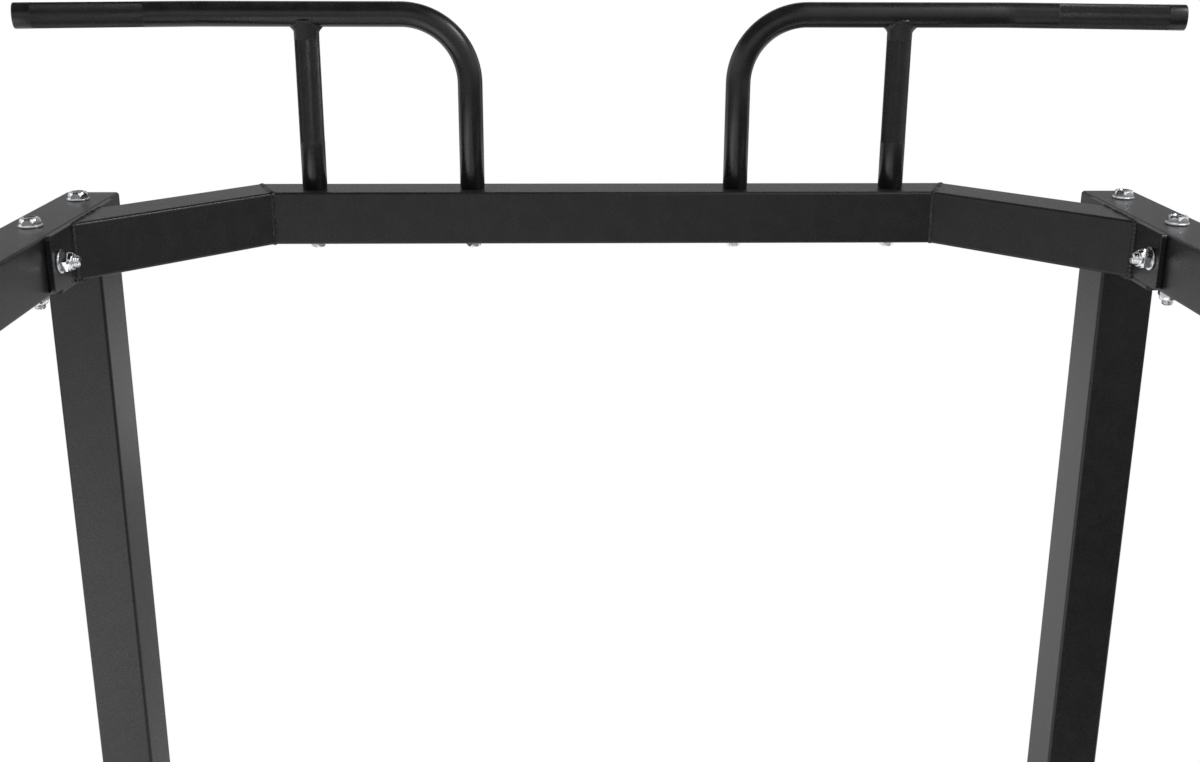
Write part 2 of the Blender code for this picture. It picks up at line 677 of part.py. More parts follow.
def build_frame(powder_coat, plastic, rubber):
    """The uprights, beams, rails and crossmembers, with their caps and feet."""
    front_upright = upright_mesh(FRONT_HOLES)
    rear_upright = upright_mesh(REAR_HOLES)
    upright_bolts = [end * y for end in (-1, 1) for y in (OUTER_BOLT_Y, INNER_BOLT_Y)]
    brace_bolts = [BRACE_Y - BRACE_BOLT_SPACING / 2, BRACE_Y + BRACE_BOLT_SPACING / 2]
    bow_bolts = [BOW_FOOT_Y - BOW_BOLT_FRONT, BOW_FOOT_Y + BOW_BOLT_REAR]
    beam = beam_mesh("side_beam", upright_bolts, bow_bolts + [-y for y in brace_bolts])
    rail = beam_mesh("side_rail", upright_bolts, brace_bolts)
    brace = brace_mesh()
    cap = cap_mesh()
    foot = foot_mesh()
    half_turn = (0, 0, math.pi)
    beam_z = CAGE_HEIGHT - TUBE / 2
    rail_z = RAIL_BOTTOM + TUBE / 2
    for hand, side in (("left", -1), ("right", 1)):
        x = side * SIDE_X
        part(f"upright_rear_{hand}", rear_upright, powder_coat, (x, UPRIGHT_Y, UPRIGHT_BOTTOM))
        part(
            f"upright_front_{hand}", front_upright, powder_coat, (x, -UPRIGHT_Y, UPRIGHT_BOTTOM), half_turn
        )
        part(f"top_side_beam_{hand}", beam, powder_coat, (x, 0, beam_z))
        part(f"base_side_rail_{hand}", rail, powder_coat, (x, 0, rail_z))
        for end, way in (("front", -1), ("rear", 1)):
            y = way * BEAM_LENGTH / 2
            part(f"beam_cap_{end}_{hand}", cap, plastic, (x, y, beam_z), (-way * math.pi / 2, 0, 0))
            part(f"rail_foot_{end}_{hand}", foot, rubber, (x, y, 0), half_turn if way < 0 else (0, 0, 0))
    part("pullup_crossmember", pullup_mesh(), powder_coat, (0, BOW_Y, beam_z))
    part("front_top_crossmember", brace, powder_coat, (0, -BRACE_Y, beam_z))
    part("rear_base_crossmember", brace, powder_coat, (0, BRACE_Y, rail_z))


def build_grips(powder_coat, zinc):
    """The J-shaped grips and the screws that hold them from below."""
    screw = screw_mesh(
        "grip_screw",
        SMALL_BOLT_RADIUS,
        SMALL_BOLT_HEX,
        SMALL_BOLT_HEAD,
        SMALL_WASHER_RADIUS,
        SMALL_WASHER,
        TUBE + SEAT + GRIP_FOOT,
    )
    upside_down = (math.pi, 0, 0)
    for hand, side in (("left", -1), ("right", 1)):
        part(f"grip_handle_{hand}", grip_mesh(side), powder_coat, (0, BOW_Y, CAGE_HEIGHT))
        for place, x in (("inner", GRIP_LEG_X), ("outer", GRIP_POST_X)):
            location = (side * x, BOW_Y, CAGE_HEIGHT - TUBE)
            part(f"grip_screw_{place}_{hand}", screw, zinc, location, upside_down)


def build_fasteners(zinc):
    """The bolts of the uprights' flanges and of the crossmembers' end plates."""
    through = bolt_mesh(TUBE + SEAT + FLANGE)
    across = bolt_mesh(TUBE + SEAT + END_PLATE)
    depth = TUBE + SEAT + FLANGE + WELD_NUT_HEIGHT
    blind = screw_mesh(
        "flange_screw", BOLT_RADIUS, BOLT_HEX, BOLT_HEAD, BOLT_WASHER_RADIUS, BOLT_WASHER, depth
    )
    upside_down = (math.pi, 0, 0)
    for hand, side in (("left", -1), ("right", 1)):
        x = side * SIDE_X
        for end, way in (("front", -1), ("rear", 1)):
            outer = way * OUTER_BOLT_Y
            inner = way * INNER_BOLT_Y
            part(f"top_outer_screw_{end}_{hand}", blind, zinc, (x, outer, CAGE_HEIGHT))
            part(f"top_inner_bolt_{end}_{hand}", through, zinc, (x, inner, CAGE_HEIGHT))
            part(f"base_outer_screw_{end}_{hand}", blind, zinc, (x, outer, RAIL_BOTTOM), upside_down)
            part(f"base_inner_bolt_{end}_{hand}", through, zinc, (x, inner, RAIL_BOTTOM), upside_down)
        outer_face = side * (CAGE_INSIDE / 2 + TUBE)
        head_out = (0, side * math.pi / 2, 0)
        half_pitch = BRACE_BOLT_SPACING / 2
        drop = END_PLATE_HEIGHT / 2
        rows = (
            ("pullup_plate", CAGE_HEIGHT - drop, BOW_FOOT_Y - BOW_BOLT_FRONT, BOW_FOOT_Y + BOW_BOLT_REAR),
            ("front_plate", CAGE_HEIGHT - drop, -BRACE_Y - half_pitch, -BRACE_Y + half_pitch),
            ("base_plate", RAIL_BOTTOM + TUBE - drop, BRACE_Y - half_pitch, BRACE_Y + half_pitch),
        )
        for name, z, front, rear in rows:
            part(f"{name}_bolt_front_{hand}", across, zinc, (outer_face, front, z), head_out)
            part(f"{name}_bolt_rear_{hand}", across, zinc, (outer_face, rear, z), head_out)


def build_moving(powder_coat, chrome, nylon):
    """The safety rods and the J-hooks, which slide out to the front."""
    rod = rod_mesh()
    hook = hook_mesh()
    liner = liner_mesh()
    rod_z = ROW_START + ROD_LEVEL * ROW_PITCH
    hook_z = ROW_START + HOOK_LEVEL * ROW_PITCH
    front = -CAGE_DEPTH / 2
    for hand, side in (("left", -1), ("right", 1)):
        x = side * SIDE_X
        rod_axis = joint_frame(f"safety_rod_axis_{hand}", (x, front, rod_z))
        part(f"safety_rod_{hand}", rod, chrome, (0, 0, 0), (-math.pi / 2, 0, 0), rod_axis)
        hook_axis = joint_frame(f"jhook_axis_{hand}", (x, front, hook_z))
        seat = (0, -SEAT - HOOK_WEB, 0)
        part(f"jhook_{hand}", hook, powder_coat, seat, parent=hook_axis)
        part(f"jhook_liner_{hand}", liner, nylon, seat, parent=hook_axis)


for leftover in list(bpy.data.objects):
    bpy.data.objects.remove(leftover)
RACK = bpy.data.collections.new("power_rack")
WORKSHOP = bpy.data.collections.new("workshop")
bpy.context.scene.collection.children.link(RACK)
bpy.context.scene.collection.children.link(WORKSHOP)

POWDER_COAT = material("black_powder_coat", (0.020, 0.020, 0.021), 0.45, 0.0)
ZINC = material("zinc_plate", (0.72, 0.72, 0.74), 0.28, 1.0)
CHROME = material("chromed_steel", (0.80, 0.80, 0.82), 0.12, 1.0)
NYLON = material("black_nylon", (0.030, 0.030, 0.032), 0.5, 0.0)
PLASTIC = material("cap_plastic", (0.015, 0.015, 0.015), 0.5, 0.0)
RUBBER = material("foot_rubber", (0.018, 0.018, 0.018), 0.8, 0.0)

build_frame(POWDER_COAT, PLASTIC, RUBBER)
build_grips(POWDER_COAT, ZINC)
build_fasteners(ZINC)
build_moving(POWDER_COAT, CHROME, NYLON)
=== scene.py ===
"""Looks of a free-standing power rack with a bowed pull-up crossmember and two J-shaped grips.

Each sub-assembly is a class whose fields are the sizes of its pieces in metres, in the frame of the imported
model: +Z up, +Y to the rear, the origin on the floor under the middle of the rack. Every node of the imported
model is replaced by a finer piece in the same place.
"""

import functools
import logging
import math
from abc import ABC, abstractmethod
from collections.abc import Callable, Iterable, Mapping, Sequence
from dataclasses import dataclass
from enum import Enum

import bmesh
import bpy
from bpy.types import Material, Mesh, Node, NodeOutputs, NodeSocket, NodeTree, Object
from mathutils import Matrix, Vector


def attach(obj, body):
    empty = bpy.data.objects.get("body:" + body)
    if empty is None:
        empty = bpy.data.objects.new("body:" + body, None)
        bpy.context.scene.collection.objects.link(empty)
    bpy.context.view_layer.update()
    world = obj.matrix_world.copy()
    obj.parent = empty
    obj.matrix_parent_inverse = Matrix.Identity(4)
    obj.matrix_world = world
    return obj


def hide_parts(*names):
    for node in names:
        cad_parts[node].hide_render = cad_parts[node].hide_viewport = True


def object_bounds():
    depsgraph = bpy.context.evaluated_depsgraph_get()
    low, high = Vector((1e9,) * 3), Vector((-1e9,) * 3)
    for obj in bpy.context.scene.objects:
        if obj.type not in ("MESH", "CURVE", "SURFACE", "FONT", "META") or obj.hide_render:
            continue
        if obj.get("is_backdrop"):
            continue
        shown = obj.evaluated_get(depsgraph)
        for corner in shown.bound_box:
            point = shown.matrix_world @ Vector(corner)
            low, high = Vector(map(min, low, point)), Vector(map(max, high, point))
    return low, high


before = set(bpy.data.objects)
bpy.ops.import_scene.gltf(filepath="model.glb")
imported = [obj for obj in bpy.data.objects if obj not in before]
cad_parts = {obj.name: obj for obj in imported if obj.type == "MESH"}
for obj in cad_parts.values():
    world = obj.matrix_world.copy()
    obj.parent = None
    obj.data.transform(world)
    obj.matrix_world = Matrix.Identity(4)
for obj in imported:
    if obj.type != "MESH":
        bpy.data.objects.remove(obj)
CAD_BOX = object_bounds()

LOG = logging.getLogger("power_rack")
IMAGE_WIDTH = 1200
IMAGE_HEIGHT = 762
WHITE = (1.0, 1.0, 1.0, 1.0)

Colour = tuple[float, float, float]
Flat = tuple[float, float]
# A point on a bar, the share of the full width there, and how far it lies inside a knurled length
Station = tuple[Vector, float, float]
# What goes into a node's sockets, by name or number
Inputs = Mapping[str | int, object]
# For each node, the place and the turn of its copy
Places = Mapping[str, tuple[Sequence[float], Sequence[float]]]


class Body(Enum):
    """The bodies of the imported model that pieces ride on."""

    FRAME = "rack_frame"
    ROD_LEFT = "safety_rod_left"
    ROD_RIGHT = "safety_rod_right"
    HOOK_LEFT = "jhook_left"
    HOOK_RIGHT = "jhook_right"


class Hand(Enum):
    """The rack's two sides as seen from the front."""

    LEFT = "left"
    RIGHT = "right"

    @property
    def side(self) -> int:
        """-1 on the left and 1 on the right."""
        return -1 if self is Hand.LEFT else 1


class End(Enum):
    """The rack's front and rear."""

    FRONT = "front"
    REAR = "rear"

    @property
    def way(self) -> int:
        """-1 to the front and 1 to the rear."""
        return -1 if self is End.FRONT else 1

    @property
    def turn(self) -> Matrix:
        """What brings a piece that is made for the rear to this end: half a turn about Z at the front."""
        return Matrix.Rotation(math.pi if self is End.FRONT else 0.0, 4, "Z")


class Axis(Enum):
    """The direction that stock is run along, as the turns about X and Y that bring +Z onto it."""

    X = (0.0, math.pi / 2)
    Y = (-math.pi / 2, 0.0)

    def matrix(self) -> Matrix:
        """Both turns as one matrix."""
        about_x, about_y = self.value
        return Matrix.Rotation(about_y, 4, "Y") @ Matrix.Rotation(about_x, 4, "X")


# Node trees


class NodeBench:
    """Adds nodes to one tree and wires them."""

    def __init__(self, tree: NodeTree) -> None:
        """Takes a tree to work on."""
        self.tree = tree

    def wire(self, node: Node, inputs: Inputs) -> NodeOutputs:
        """Fills a node's inputs.

        Args:
            node: the node.
            inputs: what goes into its sockets, by name or number: a value, or a socket to link.

        Returns:
            The node's outputs.
        """
        for key, value in inputs.items():
            if isinstance(value, NodeSocket):
                self.tree.links.new(value, node.inputs[key])
            else:
                node.inputs[key].default_value = value
        return node.outputs

    def add(self, kind: str, inputs: Inputs | None = None, **settings: object) -> NodeOutputs:
        """Adds one node.

        Args:
            kind: the node's type name.
            inputs: what goes into its sockets.
            **settings: the node's own properties.

        Returns:
            The new node's outputs.
        """
        node = self.tree.nodes.new(kind)
        for name, value in settings.items():
            setattr(node, name, value)
        return self.wire(node, inputs or {})

    def math(self, operation: str, *values: object) -> NodeSocket:
        """A Math node's result for one or more values or sockets."""
        return self.add("ShaderNodeMath", dict(enumerate(values)), operation=operation)[0]

    def scaled(self, vector: NodeSocket, scale: NodeSocket) -> NodeSocket:
        """A vector times a number."""
        return self.add("ShaderNodeVectorMath", {0: vector, "Scale": scale}, operation="SCALE")[0]

    def ramp(
        self,
        value: NodeSocket,
        low: float = 0.0,
        high: float = 1.0,
        out_low: object = 0.0,
        out_high: object = 1.0,
    ) -> NodeSocket:
        """A value mapped smoothly from one range to another, whose ends are numbers or sockets."""
        inputs = {0: value, 1: low, 2: high, 3: out_low, 4: out_high}
        return self.add("ShaderNodeMapRange", inputs, interpolation_type="SMOOTHSTEP")[0]


class GroupBench(NodeBench):
    """A new node group with named inputs and outputs."""

    def __init__(self, name: str, kind: str, inputs: Mapping[str, object], outputs: Sequence[str]) -> None:
        """Makes the group and its interface.

        Args:
            name: the group's name.
            kind: "Shader" or "Geometry".
            inputs: for each input the name of its socket type, or the number that it holds at first.
            outputs: the outputs' names; they are numbers in a shader group and geometry in the other kind.
        """
        super().__init__(bpy.data.node_groups.new(name, f"{kind}NodeTree"))
        for label, value in inputs.items():
            named = isinstance(value, str)
            socket = value if named else type(value).__name__.title()
            item = self.tree.interface.new_socket(label, in_out="INPUT", socket_type=f"NodeSocket{socket}")
            if not named:
                item.default_value = value
        socket = "NodeSocketGeometry" if kind == "Geometry" else "NodeSocketFloat"
        for label in outputs:
            self.tree.interface.new_socket(label, in_out="OUTPUT", socket_type=socket)
        self.given = self.tree.nodes.new("NodeGroupInput").outputs
        self.result = self.tree.nodes.new("NodeGroupOutput")

    def attribute(self, name: str, kind: str = "FLOAT") -> NodeSocket:
        """An attribute that a mesh carries."""
        return self.add("GeometryNodeInputNamedAttribute", {"Name": name}, data_type=kind)[0]

    def numbered(self, curve: NodeSocket) -> NodeOutputs:
        """A curve and, as the second output, the number of each of its points.

        Args:
            curve: the curve.

        Returns:
            The outputs of the node that numbers them.
        """
        node = self.tree.nodes.new("GeometryNodeCaptureAttribute")
        node.domain = "POINT"
        node.capture_items.new("INT", "Number")
        return self.wire(node, {0: curve, 1: self.add("GeometryNodeInputIndex")[0]})

    def place(self) -> NodeSocket:
        """Where each point lies."""
        return self.add("GeometryNodeInputPosition")[0]

    def wobble(self, scale: float, detail: float) -> NodeOutputs:
        """Noise in space that the group's seed changes."""
        inputs = {"Vector": self.place(), "W": self.given["Seed"], "Scale": scale, "Detail": detail}
        return self.add("ShaderNodeTexNoise", inputs, noise_dimensions="4D")

    def swept(self, path: NodeSocket, profile: NodeSocket, scale: NodeSocket) -> NodeSocket:
        """A profile swept along a path as a closed solid, as wide as its scale says."""
        inputs = {"Curve": path, "Profile Curve": profile, "Scale": scale, "Fill Caps": True}
        return self.add("GeometryNodeCurveToMesh", inputs)[0]

    def row(self, pattern: NodeSocket) -> NodeSocket:
        """Copies of a pattern in a row, by the group's count, start and pitch.

        Args:
            pattern: the geometry to copy.

        Returns:
            The copies.
        """
        given = self.given
        line = {"Count": given["Count"], "Start Location": given["Start"], "Offset": given["Pitch"]}
        points = self.add("GeometryNodeMeshLine", line)[0]
        return self.add("GeometryNodeInstanceOnPoints", {"Points": points, "Instance": pattern})[0]

    def real(self, geometry: NodeSocket) -> NodeSocket:
        """A geometry whose copies are made real."""
        return self.add("GeometryNodeRealizeInstances", {0: geometry})[0]

    def coated(self, geometry: NodeSocket) -> NodeSocket:
        """A geometry made real, in the material that the group is given."""
        inputs = {"Geometry": self.real(geometry), "Material": self.given["Material"]}
        return self.add("GeometryNodeSetMaterial", inputs)[0]


Wiring = Callable[[GroupBench, NodeOutputs], Sequence[NodeSocket]]


def node_group(
    name: str, kind: str, inputs: Mapping[str, object], outputs: Sequence[str]
) -> Callable[[Wiring], Callable[[], NodeTree]]:
    """Turns a function that wires a node group into one that returns the group and makes it once.

    Args:
        name: the group's name.
        kind: "Shader" or "Geometry".
        inputs: its inputs, as GroupBench takes them.
        outputs: its outputs' names, in the order in which the function returns their sockets.

    Returns:
        The decorator.
    """

    def decorate(wiring: Wiring) -> Callable[[], NodeTree]:
        """Gives the function that returns the group.

        Args:
            wiring: the function that wires it.

        Returns:
            A function without arguments.
        """

        @functools.wraps(wiring)
        def group() -> NodeTree:
            """Gives the group.

            Returns:
                The group's tree.
            """
            if name not in bpy.data.node_groups:
                bench = GroupBench(name, kind, inputs, outputs)
                bench.wire(bench.result, dict(zip(outputs, wiring(bench, bench.given))))
            return bpy.data.node_groups[name]

        return group

    return decorate


# Shader groups shared by the finishes


@node_group(
    "surface_grain",
    "Shader",
    {"Vector": "Vector", "Grain Scale": 900.0, "Patch Scale": 60.0},
    ("Height", "Mottle", "Patches"),
)
def grain_group(bench: GroupBench, given: NodeOutputs) -> Sequence[NodeSocket]:
    """The fine orange peel of a sprayed or moulded surface: a height, a mottled value and wide patches.

    Args:
        bench: the group's nodes.
        given: its inputs.

    Returns:
        The sockets of its outputs.
    """
    pore_share = 0.45
    grain = {"Vector": given["Vector"], "Scale": given["Grain Scale"]}
    patch = {"Vector": given["Vector"], "Scale": given["Patch Scale"], "Detail": 2.0}
    fine = bench.add("ShaderNodeTexNoise", {**grain, "Detail": 3.0, "Roughness": 0.62})["Fac"]
    pores = bench.add("ShaderNodeTexVoronoi", grain, feature="SMOOTH_F1")["Distance"]
    patches = bench.add("ShaderNodeTexNoise", patch)["Fac"]
    height = bench.math("MULTIPLY_ADD", pores, pore_share, fine)
    return height, bench.ramp(fine, 0.32, 0.68), bench.ramp(patches, 0.35, 0.65)


@node_group("settled_dust", "Shader", {"Vector": "Vector", "Amount": 0.2}, ("Mask",))
def dust_group(bench: GroupBench, given: NodeOutputs) -> Sequence[NodeSocket]:
    """A thin layer that settles on surfaces that look up, broken up by noise, as a mask.

    Args:
        bench: the group's nodes.
        given: its inputs.

    Returns:
        The sockets of its outputs.
    """
    normal = bench.add("ShaderNodeNewGeometry")["Normal"]
    facing = bench.ramp(bench.add("ShaderNodeSeparateXYZ", {0: normal})["Z"], 0.55, 0.98)
    cloud = {"Vector": given["Vector"], "Scale": 140.0, "Detail": 5.0, "Roughness": 0.7}
    noise = bench.add("ShaderNodeTexNoise", cloud)["Fac"]
    broken = bench.ramp(noise, 0.42, 0.75, 0.0, given["Amount"])
    return (bench.math("MULTIPLY", facing, broken),)


@node_group("hairlines", "Shader", {"Vector": "Vector", "Line Scale": 500.0}, ("Height", "Mask"))
def scratches_group(bench: GroupBench, given: NodeOutputs) -> Sequence[NodeSocket]:
    """Fine hairlines from handling and tumbling, as a height and a mask.

    Args:
        bench: the group's nodes.
        given: its inputs.

    Returns:
        The sockets of its outputs.
    """
    stretch = {"Vector": given["Vector"], "Scale": (1.0, 0.12, 0.5), "Rotation": (0.3, 0.2, 0.7)}
    stretched = bench.add("ShaderNodeMapping", stretch)[0]
    line = {"Vector": stretched, "Scale": given["Line Scale"], "Detail": 4.0, "Roughness": 0.75}
    lines = bench.add("ShaderNodeTexNoise", line)["Fac"]
    return lines, bench.ramp(lines, 0.5, 0.72)


# Finishes


class SurfaceBench(NodeBench):
    """The nodes of a new material."""

    def __init__(self, name: str) -> None:
        """Makes the material.

        Args:
            name: the material's name.
        """
        self.surface = bpy.data.materials.new(name)
        self.surface.use_nodes = True
        super().__init__(self.surface.node_tree)
        self.shader = self.tree.nodes["Principled BSDF"]
        self.place = self.add("ShaderNodeTexCoord")["Object"]

    def show(self, shader: NodeSocket) -> Material:
        """Makes a shader the material's surface and returns the material."""
        self.wire(self.tree.nodes["Material Output"], {"Surface": shader})
        return self.surface

    def group(self, tree: NodeTree, inputs: Mapping[str, object]) -> NodeOutputs:
        """One of the shared groups at Object coordinates, with the other inputs by name."""
        return self.add("ShaderNodeGroup", {"Vector": self.place, **inputs}, node_tree=tree)

    def tint(self, mask: NodeSocket, under: object, over: Colour) -> NodeSocket:
        """A colour, or its socket, with another laid over it where a mask is 1."""
        lower = under if isinstance(under, NodeSocket) else (*under, 1.0)
        return self.add("ShaderNodeMix", {0: mask, 6: lower, 7: (*over, 1.0)}, data_type="RGBA")[2]

    def bump(self, height: NodeSocket, depth: float) -> NodeSocket:
        """The normal of a surface raised by a height, with depth as the metres of a height of 1."""
        return self.add("ShaderNodeBump", {"Strength": 1.0, "Distance": depth, "Height": height})[0]


@dataclass(frozen=True)
class Finish(ABC):
    """A surface finish: one material, and a slot name that this script does not read."""

    name: str
    slot: str
    colour: Colour
    roughness: float

    def material(self) -> Material:
        """The finish's material, made when it is first asked for.

        Returns:
            The material.
        """
        if self.name not in bpy.data.materials:
            bench = SurfaceBench(self.name)
            base = (*self.colour, 1.0)
            bench.surface.diffuse_color = base
            bench.wire(bench.shader, {"Base Color": base, "Roughness": self.roughness})
            bench.wire(bench.shader, self.dress(bench))
        return bpy.data.materials[self.name]

    @abstractmethod
    def dress(self, bench: SurfaceBench) -> Mapping[str, object]:
        """Adds the finish's detail.

        Args:
            bench: the material's nodes.

        Returns:
            What goes into the inputs of its Principled BSDF.
        """


@dataclass(frozen=True)
class PowderCoat(Finish):
    """Satin powder coat with its orange peel."""

    grain_scale: float = 900.0
    grain_depth: float = 0.00011
    patch_colour: Colour = (0.0065, 0.0065, 0.0068)
    dust_colour: Colour = (0.16, 0.155, 0.145)
    dust: float = 0.04
    specular: float = 0.44
    smoother: float = 0.05
    rougher: float = 0.06

    def dress(self, bench: SurfaceBench) -> Mapping[str, object]:
        """Adds the peel, the mottled gloss and a trace of dust.

        Args:
            bench: the material's nodes.

        Returns:
            What goes into the inputs of its Principled BSDF.
        """
        grain = bench.group(grain_group(), {"Grain Scale": self.grain_scale, "Patch Scale": 45.0})
        dust = bench.group(dust_group(), {"Amount": self.dust})["Mask"]
        patched = bench.tint(grain["Patches"], self.colour, self.patch_colour)
        gloss = {"out_low": self.roughness - self.smoother, "out_high": self.roughness + self.rougher}
        return {
            "Base Color": bench.tint(dust, patched, self.dust_colour),
            "Roughness": bench.ramp(grain["Mottle"], **gloss),
            "Specular IOR Level": self.specular,
            "Normal": bench.bump(grain["Height"], self.grain_depth),
        }


@dataclass(frozen=True)
class PlatedMetal(Finish):
    """Zinc or chrome plate."""

    cloud_colour: Colour
    line_scale: float = 500.0
    line_depth: float = 0.00001
    haze: float = 0.10

    def dress(self, bench: SurfaceBench) -> Mapping[str, object]:
        """Adds hairlines and the plate's cloudy tint.

        Args:
            bench: the material's nodes.

        Returns:
            What goes into the inputs of its Principled BSDF.
        """
        grain = bench.group(grain_group(), {"Grain Scale": 700.0, "Patch Scale": 180.0})
        lines = bench.group(scratches_group(), {"Line Scale": self.line_scale})
        gloss = {"out_low": self.roughness, "out_high": self.roughness + self.haze}
        return {
            "Metallic": 1.0,
            "Base Color": bench.tint(grain["Patches"], self.colour, self.cloud_colour),
            "Roughness": bench.ramp(lines["Mask"], **gloss),
            "Normal": bench.bump(lines["Height"], self.line_depth),
        }


@dataclass(frozen=True)
class MouldedPlastic(Finish):
    """Moulded nylon or polyethylene with a spark-eroded texture."""

    grain_scale: float = 1400.0
    grain_depth: float = 0.00004
    patch_colour: Colour = (0.030, 0.030, 0.032)
    smoother: float = 0.06
    rougher: float = 0.08

    def dress(self, bench: SurfaceBench) -> Mapping[str, object]:
        """Adds the moulded texture and its flow marks.

        Args:
            bench: the material's nodes.

        Returns:
            What goes into the inputs of its Principled BSDF.
        """
        grain = bench.group(grain_group(), {"Grain Scale": self.grain_scale, "Patch Scale": 30.0})
        gloss = {"out_low": self.roughness - self.smoother, "out_high": self.roughness + self.rougher}
        return {
            "Base Color": bench.tint(grain["Patches"], self.colour, self.patch_colour),
            "Roughness": bench.ramp(grain["Mottle"], **gloss),
            "Normal": bench.bump(grain["Height"], self.grain_depth),
        }


@dataclass(frozen=True)
class Rubber(Finish):
    """Matt moulded rubber with dust in its pores."""

    grain_depth: float = 0.00010
    bloom_colour: Colour = (0.035, 0.034, 0.033)
    dust_colour: Colour = (0.20, 0.19, 0.18)
    dust: float = 0.35
    specular: float = 0.25

    def dress(self, bench: SurfaceBench) -> Mapping[str, object]:
        """Adds coarse pores and the dust that clings to them.

        Args:
            bench: the material's nodes.

        Returns:
            What goes into the inputs of its Principled BSDF.
        """
        grain = bench.group(grain_group(), {"Grain Scale": 1100.0, "Patch Scale": 90.0})
        dust = bench.group(dust_group(), {"Amount": self.dust})["Mask"]
        bloom = bench.tint(grain["Patches"], self.colour, self.bloom_colour)
        return {
            "Base Color": bench.tint(dust, bloom, self.dust_colour),
            "Specular IOR Level": self.specular,
            "Normal": bench.bump(grain["Height"], self.grain_depth),
        }


FRAME_COAT = PowderCoat("black_powder_coat", "powder_coat", (0.0045, 0.0045, 0.0047), 0.31)
GRIP_COAT = PowderCoat(
    "grip_powder_coat", "grip_coat", (0.004, 0.004, 0.0042), 0.27, grain_scale=1200.0, grain_depth=0.00005
)
ZINC = PlatedMetal("bright_zinc_plate", "hardware", (0.90, 0.91, 0.93), 0.13, (0.78, 0.80, 0.83))
CHROME = PlatedMetal("hard_chrome", "rod_chrome", (0.82, 0.83, 0.85), 0.09, (0.76, 0.77, 0.79), 900.0)
LOCK_NYLON = MouldedPlastic("lock_ring_nylon", "hardware", (0.045, 0.050, 0.060), 0.45)
LINER_NYLON = MouldedPlastic("black_liner_nylon", "liner_nylon", (0.020, 0.020, 0.022), 0.48)
CAP_PLASTIC = MouldedPlastic("black_cap_plastic", "cap_plastic", (0.014, 0.014, 0.015), 0.42)
FOOT_RUBBER = Rubber("black_foot_rubber", "foot_rubber", (0.018, 0.018, 0.018), 0.80)


# Mesh work


def polar(radius: float, angle: float, centre: Flat = (0.0, 0.0)) -> Flat:
    """The point at a radius and an angle round a centre."""
    return centre[0] + radius * math.cos(angle), centre[1] + radius * math.sin(angle)


def angles_round(count: int) -> list[float]:
    """Angles at even steps round a full turn."""
    return [2 * math.pi * index / count for index in range(count)]


def rounded_outline(width: float, height: float, corner: float, steps: int = 6) -> list[Flat]:
    """Points round a rectangle with round corners, counter-clockwise and centred on the origin.

    Args:
        width: size along x.
        height: size along y.
        corner: radius of the corners.
        steps: segments in each corner.

    Returns:
        The outline's points.
    """
    points = []
    for turn, (side_x, side_y) in enumerate(((1, 1), (-1, 1), (-1, -1), (1, -1))):
        centre = (side_x * (width / 2 - corner), side_y * (height / 2 - corner))
        angles = [(turn + step / steps) * math.pi / 2 for step in range(steps + 1)]
        points += [polar(corner, angle, centre) for angle in angles]
    return points


def round_outline(radius: float, sides: int) -> list[Flat]:
    """Points round a circle, counter-clockwise."""
    return [polar(radius, angle) for angle in angles_round(sides)]


def arc(centre: Flat, radius: float, start: float, sweep: float, steps: int) -> list[Flat]:
    """Points along an arc with both its ends, the angles in radians."""
    angles = [start + sweep * step / steps for step in range(steps + 1)]
    return [polar(radius, angle, centre) for angle in angles]


def lofted(rings: Sequence[Sequence[Vector]], cyclic: bool = False, capped: bool = True) -> Mesh:
    """A skin over a row of rings with equally many points.

    Args:
        rings: the rings' points; a ring of one point is a pole.
        cyclic: whether the last ring joins the first, as in a hollow tube.
        capped: whether the two end rings are closed by a face each.

    Returns:
        The mesh, its faces turned outwards.
    """
    shape = bmesh.new()
    rows = [[shape.verts.new(point) for point in ring] for ring in rings]
    pairs = list(zip(rows, rows[1:]))
    if cyclic:
        pairs.append((rows[-1], rows[0]))
    for first, second in pairs:
        count = max(len(first), len(second))
        for index in range(count):
            if len(first) == 1:
                corners = (first[0], second[index], second[index - 1])
            elif len(second) == 1:
                corners = (first[index - 1], first[index], second[0])
            else:
                corners = (first[index - 1], first[index], second[index], second[index - 1])
            shape.faces.new(corners)
    if capped and not cyclic:
        for row in (rows[0], rows[-1]):
            if len(row) > 2:
                shape.faces.new(row)
    bmesh.ops.recalc_face_normals(shape, faces=shape.faces)
    mesh = bpy.data.meshes.new("loft")
    shape.to_mesh(mesh)
    shape.free()
    return mesh


def ring_at(outline: Iterable[Flat], level: float) -> list[Vector]:
    """An outline's points at a height."""
    return [Vector((x, y, level)) for x, y in outline]


def extruded(outline: Sequence[Flat], bottom: float, top: float) -> Mesh:
    """A closed solid with an outline in x and y, between two heights."""
    return lofted([ring_at(outline, bottom), ring_at(outline, top)])


def hollow(outer: Sequence[Flat], inner: Sequence[Flat], bottom: float, top: float) -> Mesh:
    """A tube between two heights from two outlines with equally many points."""
    corners = ((outer, bottom), (outer, top), (inner, top), (inner, bottom))
    return lofted([ring_at(outline, level) for outline, level in corners], cyclic=True)


def turned(profile: Sequence[Flat], sides: int = 48, cyclic: bool = False, capped: bool = False) -> Mesh:
    """A profile turned about Z.

    Args:
        profile: its (radius, height) points; a radius of 0 is a pole.
        sides: segments round the axis.
        cyclic: whether the profile's end joins its start, as in a ring.
        capped: whether its two ends are closed by a face each.

    Returns:
        The turned mesh.
    """
    rings = []
    for radius, height in profile:
        outline = round_outline(radius, sides) if radius else [(0.0, 0.0)]
        rings.append(ring_at(outline, height))
    return lofted(rings, cyclic, capped)


